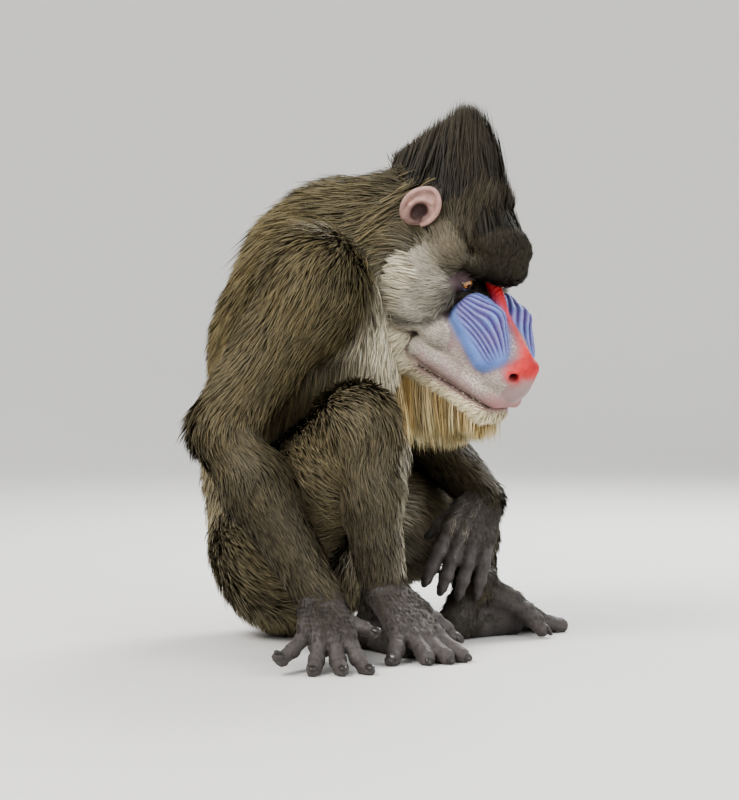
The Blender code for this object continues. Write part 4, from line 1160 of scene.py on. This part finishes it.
def scattered(points, normals, quads, density, *values):
    """Roots spread over the faces by density for each square metre, with the values carried to them."""
    triangles, area = split_quads(points, quads)
    want = area * density[triangles].mean(axis=1)
    number = np.floor(want + RNG.random(len(want))).astype(int)
    pick = np.repeat(np.arange(len(triangles)), number)
    u, v = RNG.random(len(pick)), RNG.random(len(pick))
    over = u + v > 1
    u[over], v[over] = 1 - u[over], 1 - v[over]
    share = np.stack([1 - u - v, u, v], axis=1)
    corners = triangles[pick]

    def carried(value):
        if value.ndim == 1:
            return (value[corners] * share).sum(axis=1)
        return (value[corners] * share[..., None]).sum(axis=1)

    nearest = corners[np.arange(len(pick)), share.argmax(axis=1)]
    return carried(points), unit(carried(normals)), [carried(value) for value in values], nearest


def unwrapped(roots, start, end):
    """Places on an unwrap of the skin round the line from start to end: turn about it, and way along it."""
    axis = unit(end - start)
    side = unit(np.cross(axis, (0.3, 0.9, 0.1)))
    other = np.cross(axis, side)
    offset = roots - start
    turn = np.arctan2(offset @ other, offset @ side) / math.tau + 0.5
    along = offset @ axis
    along = (along - along.min()) / max(np.ptp(along), 1e-6)
    return np.stack([turn, along], axis=1) * (1 - 4 * PATCH) + 2 * PATCH


def part_line(part, shapes=()):
    """The line that a part's skin is unwrapped round."""
    if part in ("head", "jaw"):
        return head_place(0, -0.12, -0.02), head_place(0, 0.12, -0.06)
    if part == "neck":
        return np.array(Vector((0, 0.0, 0.462)) + SHIFT), head_place(0, -0.095, -0.02)
    if part == "trunk":
        return np.array((0, 0.06, 0.0)) + STEP, np.array((0, 0.03, 0.55)) + STEP
    mine = [shape for shape in shapes if shape.part == part and shape.end is not None]
    return mine[0].start, mine[-1].end


def base_coat(grown, material):
    """Tufts over the whole skin, longer on the trunk and shortest on the face, hands and feet."""
    pieces = {}
    for name, points, normals, faces, weights, lie, nearest, shapes in grown:
        if name.startswith("ear"):
            continue
        on_paw = name.startswith(("hand", "foot"))
        away = off_ears(points)
        density = coat_value(weights, "density") * MM2 * THINNED.get(name, PAW_THINNED)
        density = density * (1 - rump_patch(points)[0]) * (1 - callosities(points))
        density = density * (points[:, 2] > 0.002) * rising(away, 0.97, 0.08)
        length = coat_value(weights, "length") * (0.18 + 0.82 * rising(away, 1.0, 0.9))
        if on_paw:
            density = density * paw_back(name, points, normals)
        if name == "face":
            bare = share_of(weights, "swelling", "strip", "nose")
            density = density * bare_face(points) * np.clip(1.15 - 2.3 * bare, 0, 1)
            length = length * (0.3 + 0.7 * rising(np.abs(mouth_gap(head_measures(points))), 0, 0.02))
        values = [length, *(coat_value(weights, value) for value in ("lift", "width", "dark", "light")), lie]
        roots, out, carried, vertex = scattered(points, normals, faces, density, *values)
        length, lift, width, dark, light, way = carried
        dark, light = marked(roots, out, dark, light)
        parts = np.array([shapes[i].part for i in nearest[vertex]])
        for part in np.unique(parts):
            mine = parts == part
            key = name if on_paw or (name, part) == ("face", "head") else part
            pieces.setdefault(key, []).append(
                [value[mine] for value in (roots, out, length, lift, width, dark, light, way)])
    for part, found in pieces.items():
        joined = [np.concatenate(values) for values in zip(*found)]
        order = np.argsort(RNG.random(len(joined[0])))
        line = part_line("head" if part == "face" else part, TRUNK + LIMBS + sum(PAWS.values(), []))
        groups = math.ceil(len(order) / MOST_TUFTS)
        for number, chosen in enumerate(np.array_split(order, groups)):
            values = [value[chosen] for value in joined]
            coat_piece(f"coat_{part}_{number + 1}", part, line, material, *values)


def coat_piece(name, part, line, material, roots, out, length, lift, width, dark, light, way):
    count = len(roots)
    swirl = np.stack([waver(roots, 0.09, k) for k in range(3)], axis=1) * 0.22
    jitter = RNG.normal(0, 0.13, (count, 3))
    way = unit(way) + swirl + jitter
    length = length * np.clip(1 + RNG.normal(0, 0.16, count) + 0.12 * waver(roots, 0.04), 0.5, 1.5)
    lift = lift * np.clip(1 + RNG.normal(0, 0.22, count), 0.4, 1.7)
    size = float(np.clip(length.mean() * 0.36, 0.0025, 0.011))
    segments = 2 if part in SHORT_HAIRED or part.startswith(("hand", "foot")) else 3
    lines, across, shade = grow(roots, out, way, length, lift, width, COAT_DROOP, segments, size, COAT_PULL)
    colours = tinted(dark, light, segments)
    ribbons(name, lines, across, shade, colours, unwrapped(roots, *line), material)


# Path of the painted shade in the fold from the eye down and back round the cheek, as forward and height
FOLD_SHADE_PATH = ((0.012, -0.022), (0.017, -0.046), (0.012, -0.07), (-0.012, -0.086), (-0.04, -0.092))


def painted_fold_shade(points):
    """1 where shade is painted into the fold that runs from the eye down and back round the cheek."""
    x, forward, height = head_measures(points).T
    at = np.stack([forward, height], axis=1)
    away = np.full(len(points), 1.0)
    for start, end in zip(FOLD_SHADE_PATH, FOLD_SHADE_PATH[1:]):
        start, way = np.array(start), np.array(end) - np.array(start)
        along = np.clip((at - start) @ way / (way @ way), 0, 1)
        away = np.minimum(away, np.linalg.norm(at - start - along[:, None] * way, axis=1))
    return np.exp(-((away / 0.0065) ** 2)) * (np.abs(x) > 0.02) * rising(forward, -0.045, 0.03)


PALE_ROOT = (0.25, 0.22, 0.17)
PALE_TIP = (0.62, 0.57, 0.45)


def marked(roots, out, dark, light):
    """The coat's larger markings, a pale front and a dark line down the back, and painted shade in the fold
    of the cheek.
    """
    at = roots - STEP
    front = np.clip(-out[:, 1] * 0.9 - 0.15, 0, 1) * (at[:, 2] > 0.1) * (at[:, 2] < 0.44)
    front = front * falling(np.abs(at[:, 0]), 0.115, 0.03) * (at[:, 1] > -0.14)
    dark, light = mix(dark, PALE_ROOT, front * 0.75), mix(light, PALE_TIP, front * 0.75)
    spine = np.exp(-((at[:, 0] / 0.03) ** 2)) * (out[:, 1] > 0) * (at[:, 2] > 0.16)
    dark, light = mix(dark, dark * 0.6, spine), mix(light, light * 0.6, spine)
    # Painted shade: the coat darkened in the fold of the cheek
    fold = painted_fold_shade(roots) * 0.8
    dark, light = mix(dark, dark * 0.22, fold), mix(light, light * 0.22, fold)
    patch = 1 + 0.16 * waver(roots, 0.1)[:, None] + 0.1 * waver(roots, 0.035, 1)[:, None]
    return dark * patch, light * patch


def paw_back(name, points, normals):
    """1 on the back of a hand or foot and 0 on its palm, fading over the digits."""
    side = name[5:]
    if name == "hand_right":
        root, ahead, back = WRIST[side], heading(HAND_WAY, HAND_SLOPE), heading(HAND_WAY, HAND_SLOPE + 90)
    elif name == "hand_left":
        root, ahead, back = WRIST[side], HANGING_AHEAD, HANGING_BACK.normalized()
    else:
        root, ahead, back = ANKLE[side], heading(FOOT_WAY[side], -20), Vector((0, 0, 1))
    along = (points - np.array(root + SHIFT)) @ np.array(ahead)
    covered = rising(normals @ np.array(back), -0.05, 0.35) * falling(along, 0.112, 0.05)
    return np.maximum(falling(along, 0.012, 0.01), covered)


def bare_face(points):
    """0 on the bare skin round the eyes, on the lids, the lips' edges and in the nostrils."""
    measures = head_measures(points)
    cover = np.ones(len(points))
    for side in SIDES:
        out = np.linalg.norm(lid_opening(points, side)[1], axis=1)
        cover *= 1 - (measures[:, 2] < 0.013) * falling(out, EYE_RADIUS + 0.009, 0.004)
    cover *= 1 - np.exp(-((mouth_gap(measures) / 0.0042) ** 2))
    cover *= 1 - (measures[:, 1] > 0.124)
    return cover


# Long hair: where it grows and the way it reaches, the line that its skin is unwrapped round, its slot,
# how many locks of how many segments, their width, lift in degrees, droop, the size of a clump and how
# far it draws them together, and the nodes that it replaces
LongHair = namedtuple("LongHair", "where line slot count segments width lift droop clump pull replaces")


def long_hair(name, hair, grown, material):
    """Long overlapping locks."""
    chosen = []
    for region, points, normals, faces, *_ in grown:
        if region not in ("body", "face"):
            continue
        weight = hair.where(points)[0]
        if (weight > 0.01).any():
            triangles, area = split_quads(points, faces)
            chosen.append((points, normals, faces, weight, (area * weight[triangles].mean(axis=1)).sum()))
    whole = sum(item[-1] for item in chosen)
    found = [scattered(*skin, weight * hair.count / whole) for *skin, weight, _ in chosen]
    roots, out = (np.concatenate([item[k] for item in found]) for k in range(2))
    _, aim, length, dark, light = hair.where(roots)
    count, segments = len(roots), hair.segments
    reach = np.linalg.norm(aim, axis=1)
    length = np.minimum(length * np.clip(1 + RNG.normal(0, 0.16, count), 0.5, 1.35),
                        reach * np.clip(1 + RNG.normal(-0.09, 0.09, count), 0.6, 1.06))
    aim = unit(aim) + RNG.normal(0, 0.08, (count, 3))
    size = np.full(count, float(hair.lift)), np.full(count, hair.width), hair.droop
    lines, across, shade = grow(roots, out, aim, length, *size, segments, hair.clump, hair.pull, unit(aim))
    dark, light = np.zeros((count, 3)) + dark, np.zeros((count, 3)) + light
    colours = tinted(dark, light, segments)
    groups = math.ceil(count / (MOST_TRIANGLES // (2 * segments - 1)))
    for index, mine in enumerate(np.array_split(np.argsort(RNG.random(count)), groups)):
        ribbons(f"{name}_{index + 1}", lines[mine], across[mine], shade[mine], colours[mine],
                unwrapped(roots[mine], *hair.line), material, () if index else hair.replaces)


CREST_LINE = head_place(0, -0.14, 0.0), head_place(0, 0.02, 0.0)
CREST_RIDGE = ((0.0, -0.144, 0.136), (0.0, -0.16, 0.098), (0.0, -0.176, 0.06), (0.0, -0.192, 0.03))


def crest_hair(points):
    """Hair of the forehead, crown and nape that sweeps up and back to the crest's peaked ridge."""
    x, forward, height = head_measures(points).T
    weight = falling(forward, 0.01, 0.02) * rising(forward, -0.165, 0.02)
    weight = weight * np.clip((height - 0.02 + 0.25 * np.clip(-forward - 0.08, 0, 1)) / 0.012, 0, 1)
    weight = weight * falling(np.abs(x), 0.056, 0.012) * (1 - near_ear(points))
    place = falling(forward, -0.085, 0.07) * 3
    ridge = np.array([head_place(*spot) for spot in CREST_RIDGE])
    first = np.clip(np.floor(place), 0, 2).astype(int)
    target = ridge[first] + (ridge[first + 1] - ridge[first]) * (place - first)[:, None]
    aim = target + np.array(LEFT) * (x * 0.16)[:, None] - points
    length = np.clip(np.linalg.norm(aim, axis=1) * 1.1, 0.024, 0.036 + 0.074 * falling(forward, 0.01, 0.06))
    return weight, aim, length, (0.012, 0.01, 0.008), (0.046, 0.038, 0.024)


def mane_hair(points):
    """The mane of the neck and withers, which lies back over the shoulders."""
    at = points - STEP
    weight = rising(at[:, 2], 0.425, 0.03) * falling(head_measures(points)[:, 1], -0.088, 0.02)
    weight = weight * falling(at[:, 1], 0.06, 0.05) * falling(np.abs(at[:, 0]), 0.1, 0.02)
    weight = weight * (1 - near_ear(points))
    aim = np.stack([at[:, 0] * 3.5, np.full(len(at), 0.9), -0.25 - 5.0 * np.abs(at[:, 0])], axis=1)
    return weight, aim, 0.07, (0.034, 0.029, 0.02), (0.175, 0.142, 0.075)


def ruff_hair(points):
    """The pale hair of the cheeks and the tuft behind them, which sweeps back beside the neck."""
    x, forward, height = head_measures(points).T
    weight = falling(forward, -0.012, 0.02) * rising(forward, -0.076, 0.02)
    weight = weight * falling(height, -0.022, 0.012) * rising(height, -0.125, 0.02)
    weight = weight * (np.abs(x) > 0.022) * (np.abs(x) < 0.074) * (1 - near_ear(points))
    weight = weight * falling(points[:, 1] - SHIFT.y, -0.074, 0.015)
    aim = -np.array(FORWARD) * 0.9 + np.array(LEFT) * np.sign(x)[:, None] * 0.3 - np.array(UP) * 0.35
    length = 0.026 + 0.014 * falling(forward, -0.01, 0.06)
    fade = falling(forward, -0.055, 0.05)
    dark, light = np.array((0.2, 0.175, 0.13)), np.array((0.6, 0.55, 0.43))
    return weight, aim, length, mix(dark, dark * 0.35, fade), mix(light, light * 0.45, fade)


def beard_hair(points):
    """The yellow beard that hangs from the chin and throat."""
    x, forward, height = head_measures(points).T
    jaw_line = -0.1345 + 0.17 * (forward - 0.025)
    weight = np.clip((jaw_line - height) / 0.008, 0, 1) * rising(forward, -0.03, 0.02)
    weight = weight * falling(forward, 0.112, 0.01) * (np.abs(x) < 0.05) * (height > -0.155)
    aim = np.stack([-x * 3.0, np.full(len(x), -0.02), np.full(len(x), -1.0)], axis=1)
    aim = aim + np.array(FORWARD) * (0.15 - 0.3 * rising(forward, 0.04, 0.06))[:, None]
    length = 0.03 + 0.042 * falling(forward, 0.09, 0.06) * rising(forward, -0.03, 0.03)
    pale = 0.5 + 0.5 * waver(points, 0.03)
    dark = mix((0.54, 0.39, 0.18), (0.58, 0.47, 0.29), pale)
    light = mix((0.84, 0.65, 0.33), (0.88, 0.78, 0.54), pale)
    return weight, aim, length, dark, light


LONG_HAIRS = {
    "crest": LongHair(crest_hair, CREST_LINE, "mane_coat", 9000, 5, 0.0017, 22, 0.0, 0.008, 0.4, ("crest",)),
    "mane": LongHair(mane_hair, part_line("neck"), "mane_coat", 9000, 5, 0.0023, 30, 0.22, 0.014, 0.42,
                     ("neck",)),
    "ruff": LongHair(ruff_hair, part_line("head"), "cheek_coat", 7000, 4, 0.0019, 26, 0.16, 0.009, 0.5,
                     ("ruff_left", "ruff_right")),
    "beard": LongHair(beard_hair, part_line("head"), "beard_coat", 8500, 5, 0.0013, 46, 0.35, 0.005, 0.3,
                      ("beard",)),
}


# Eyes, nails, floor, lights and camera. An eye's angles are in degrees off its axis

PUPIL_ANGLE, IRIS_ANGLE, RIM_ANGLE = 11, 29, 34
PUPIL = (0.004, 0.003, 0.003)
IRIS = (0.36, 0.155, 0.035)
IRIS_RIM = (0.03, 0.012, 0.006)
EYE_WHITE = (0.23, 0.14, 0.1)
CORNEA_RISE = 0.0011
NAIL_COLOUR = (0.032, 0.027, 0.024)


def build_eyes():
    """Each eyeball turned forward, with a black pupil, amber iris, dark rim and brown white."""
    material = new_material("wet eye", 0.06, 0.6)
    shader = material.node_tree.nodes["Principled BSDF"]
    shader.inputs["Coat Weight"].default_value = 1.0
    shader.inputs["Coat Roughness"].default_value = 0.02
    for side in SIDES:
        bm = bmesh.new()
        bmesh.ops.create_uvsphere(bm, u_segments=64, v_segments=64, radius=EYE_RADIUS)
        gaze = (FORWARD + LEFT * SIDES[side] * 0.16 - UP * 0.02).normalized()
        turn = gaze.to_track_quat("Z", "Y").to_matrix().to_4x4()
        colours = []
        for vertex in bm.verts:
            angle = math.degrees(math.acos(max(-1.0, min(1.0, vertex.co.z / EYE_RADIUS))))
            colours.append(eye_colour(angle, math.atan2(vertex.co.y, vertex.co.x)))
            bulge = CORNEA_RISE * max(0.0, 1 - (angle / RIM_ANGLE) ** 2)
            vertex.co *= 1 + bulge / EYE_RADIUS
        bm.transform(Matrix.Translation(eye_centre(side)) @ turn)
        mesh = smooth_mesh(f"eyeball_{side}", bm)
        colour_attribute(mesh, np.array(colours))
        shown(mesh.name, mesh, material, [f"eye_{side}"])


def eye_colour(angle, around):
    if angle < PUPIL_ANGLE:
        return PUPIL
    if angle < IRIS_ANGLE:
        rays = 1 + 0.22 * math.sin(around * 23) * math.sin(around * 7 + 1)
        ring = 0.75 + 0.5 * (IRIS_ANGLE - angle) / (IRIS_ANGLE - PUPIL_ANGLE)
        return tuple(min(1.0, value * rays * ring) for value in IRIS)
    return IRIS_RIM if angle < RIM_ANGLE else EYE_WHITE


def build_nails():
    """A dark curved nail on the back of each digit's end."""
    material = new_material("nail", 0.34, 0.5)
    grouped = {}
    for part, start, end, dorsal, radius in NAILS:
        grouped.setdefault(part, []).append((start + SHIFT, end + SHIFT, dorsal, radius))
    for part, found in grouped.items():
        bm = bmesh.new()
        for start, end, dorsal, radius in found:
            ahead = (end - start).normalized()
            up = (dorsal - ahead * dorsal.dot(ahead)).normalized()
            side = ahead.cross(up)
            axes = Matrix([side, ahead, up]).transposed().to_4x4()
            size = Matrix.Diagonal((radius * 0.74, radius * 1.05, radius * 0.42, 1.0))
            place = Matrix.Translation(end + up * radius * 0.66 + ahead * radius * 0.42) @ axes @ size
            bmesh.ops.create_uvsphere(bm, u_segments=20, v_segments=14, radius=1.0, matrix=place)
        for vertex in bm.verts:
            vertex.co.z = max(vertex.co.z, 0.0003)
        mesh = smooth_mesh(f"nails_{part}", bm)
        colour_attribute(mesh, np.tile(NAIL_COLOUR, (len(mesh.vertices), 1)))
        shown(mesh.name, mesh, material)


# The camera stands 3 m off at the angle where the model covers the picture's own outline
CAMERA_AZIMUTH = math.radians(-60.0)
CAMERA_ELEVATION = math.radians(7.3)
CAMERA_DISTANCE = 3.0
AIM_RIGHT = 0.0234
AIM_UP = 0.285
LENS = 112.5
SENSOR = 36.0

# The floor bends up into a wall all round
FLOOR_RADIUS = 3.3
COVE_RADIUS = 1.3
COVE_STEPS = 12
WALL_TOP = 2.4
LIGHTS_CENTRE = 0.3


def build_camera():
    az, el = CAMERA_AZIMUTH, CAMERA_ELEVATION
    back = Vector((math.sin(az) * math.cos(el), -math.cos(az) * math.cos(el), math.sin(el)))
    right = Vector((math.cos(az), math.sin(az), 0.0))
    place = SHIFT + back * CAMERA_DISTANCE
    aim = SHIFT + right * AIM_RIGHT + back.cross(right) * AIM_UP
    data = bpy.data.cameras.new("camera")
    data.lens = LENS
    data.sensor_fit = "VERTICAL"
    data.sensor_height = SENSOR
    data.sensor_width = SENSOR
    camera = placed("camera", data)
    camera.location = place
    camera.rotation_mode = "QUATERNION"
    camera.rotation_quaternion = (place - aim).to_track_quat("Z", "Y")
    bpy.context.scene.camera = camera
    return back, right


def build_light(name, direction, size, energy, colour=(1, 1, 1)):
    data = bpy.data.lights.new(name, "AREA")
    data.size = size
    data.energy = energy
    data.color = colour
    light = placed(name, data)
    light.location = SHIFT + Vector((0, 0, LIGHTS_CENTRE)) + direction
    light.rotation_mode = "QUATERNION"
    light.rotation_quaternion = direction.to_track_quat("Z", "Y")


def build_studio(back, right):
    profile = [(0.0, 0.0), (FLOOR_RADIUS, 0.0)]
    for step in range(1, COVE_STEPS + 1):
        turn = math.pi / 2 * step / COVE_STEPS
        height = COVE_RADIUS - COVE_RADIUS * math.cos(turn)
        profile.append((FLOOR_RADIUS + COVE_RADIUS * math.sin(turn), height))
    profile.append((FLOOR_RADIUS + COVE_RADIUS, WALL_TOP))
    bm = bmesh.new()
    points = [bm.verts.new((radius, 0, height)) for radius, height in profile]
    lines = [bm.edges.new(pair) for pair in zip(points, points[1:])]
    bmesh.ops.spin(bm, geom=points + lines, cent=(0, 0, 0), axis=(0, 0, 1), angle=math.tau, steps=96,
                   use_merge=True)
    bmesh.ops.remove_doubles(bm, verts=bm.verts, dist=0.0005)
    floor = placed("backdrop", smooth_mesh("backdrop", bm))
    material = bpy.data.materials.new("pale floor")
    material.use_nodes = True
    shader = material.node_tree.nodes["Principled BSDF"]
    shader.inputs["Base Color"].default_value = (0.7, 0.69, 0.67, 1)
    shader.inputs["Roughness"].default_value = 0.85
    floor.data.materials.append(material)
    up = Vector((0, 0, 1))
    build_light("key", back * 1.6 - right * 1.5 + up * 1.9, 1.3, 62, (1.0, 0.97, 0.93))
    build_light("fill", back * 1.8 + right * 1.9 + up * 0.7, 1.8, 24, (0.93, 0.96, 1.0))
    build_light("rim", -back * 1.8 + right * 0.9 + up * 1.8, 1.2, 46)
    world = bpy.data.worlds.new("studio")
    world.use_nodes = True
    world.node_tree.nodes["Background"].inputs["Color"].default_value = (0.86, 0.88, 0.9, 1)
    world.node_tree.nodes["Background"].inputs["Strength"].default_value = 0.8
    bpy.context.scene.world = world
    view = bpy.context.scene.view_settings
    view.view_transform = "AgX"
    view.look = "AgX - Medium High Contrast"
    view.exposure = 0.35


def main():
    grown = build_skin(skin_meshes())
    coat = new_material("coat", 0.6, 0.28)
    base_coat(grown, coat)
    for name, hair in LONG_HAIRS.items():
        long_hair(f"{name}_hair", hair, grown, coat)
    build_eyes()
    build_nails()
    build_studio(*build_camera())


main()
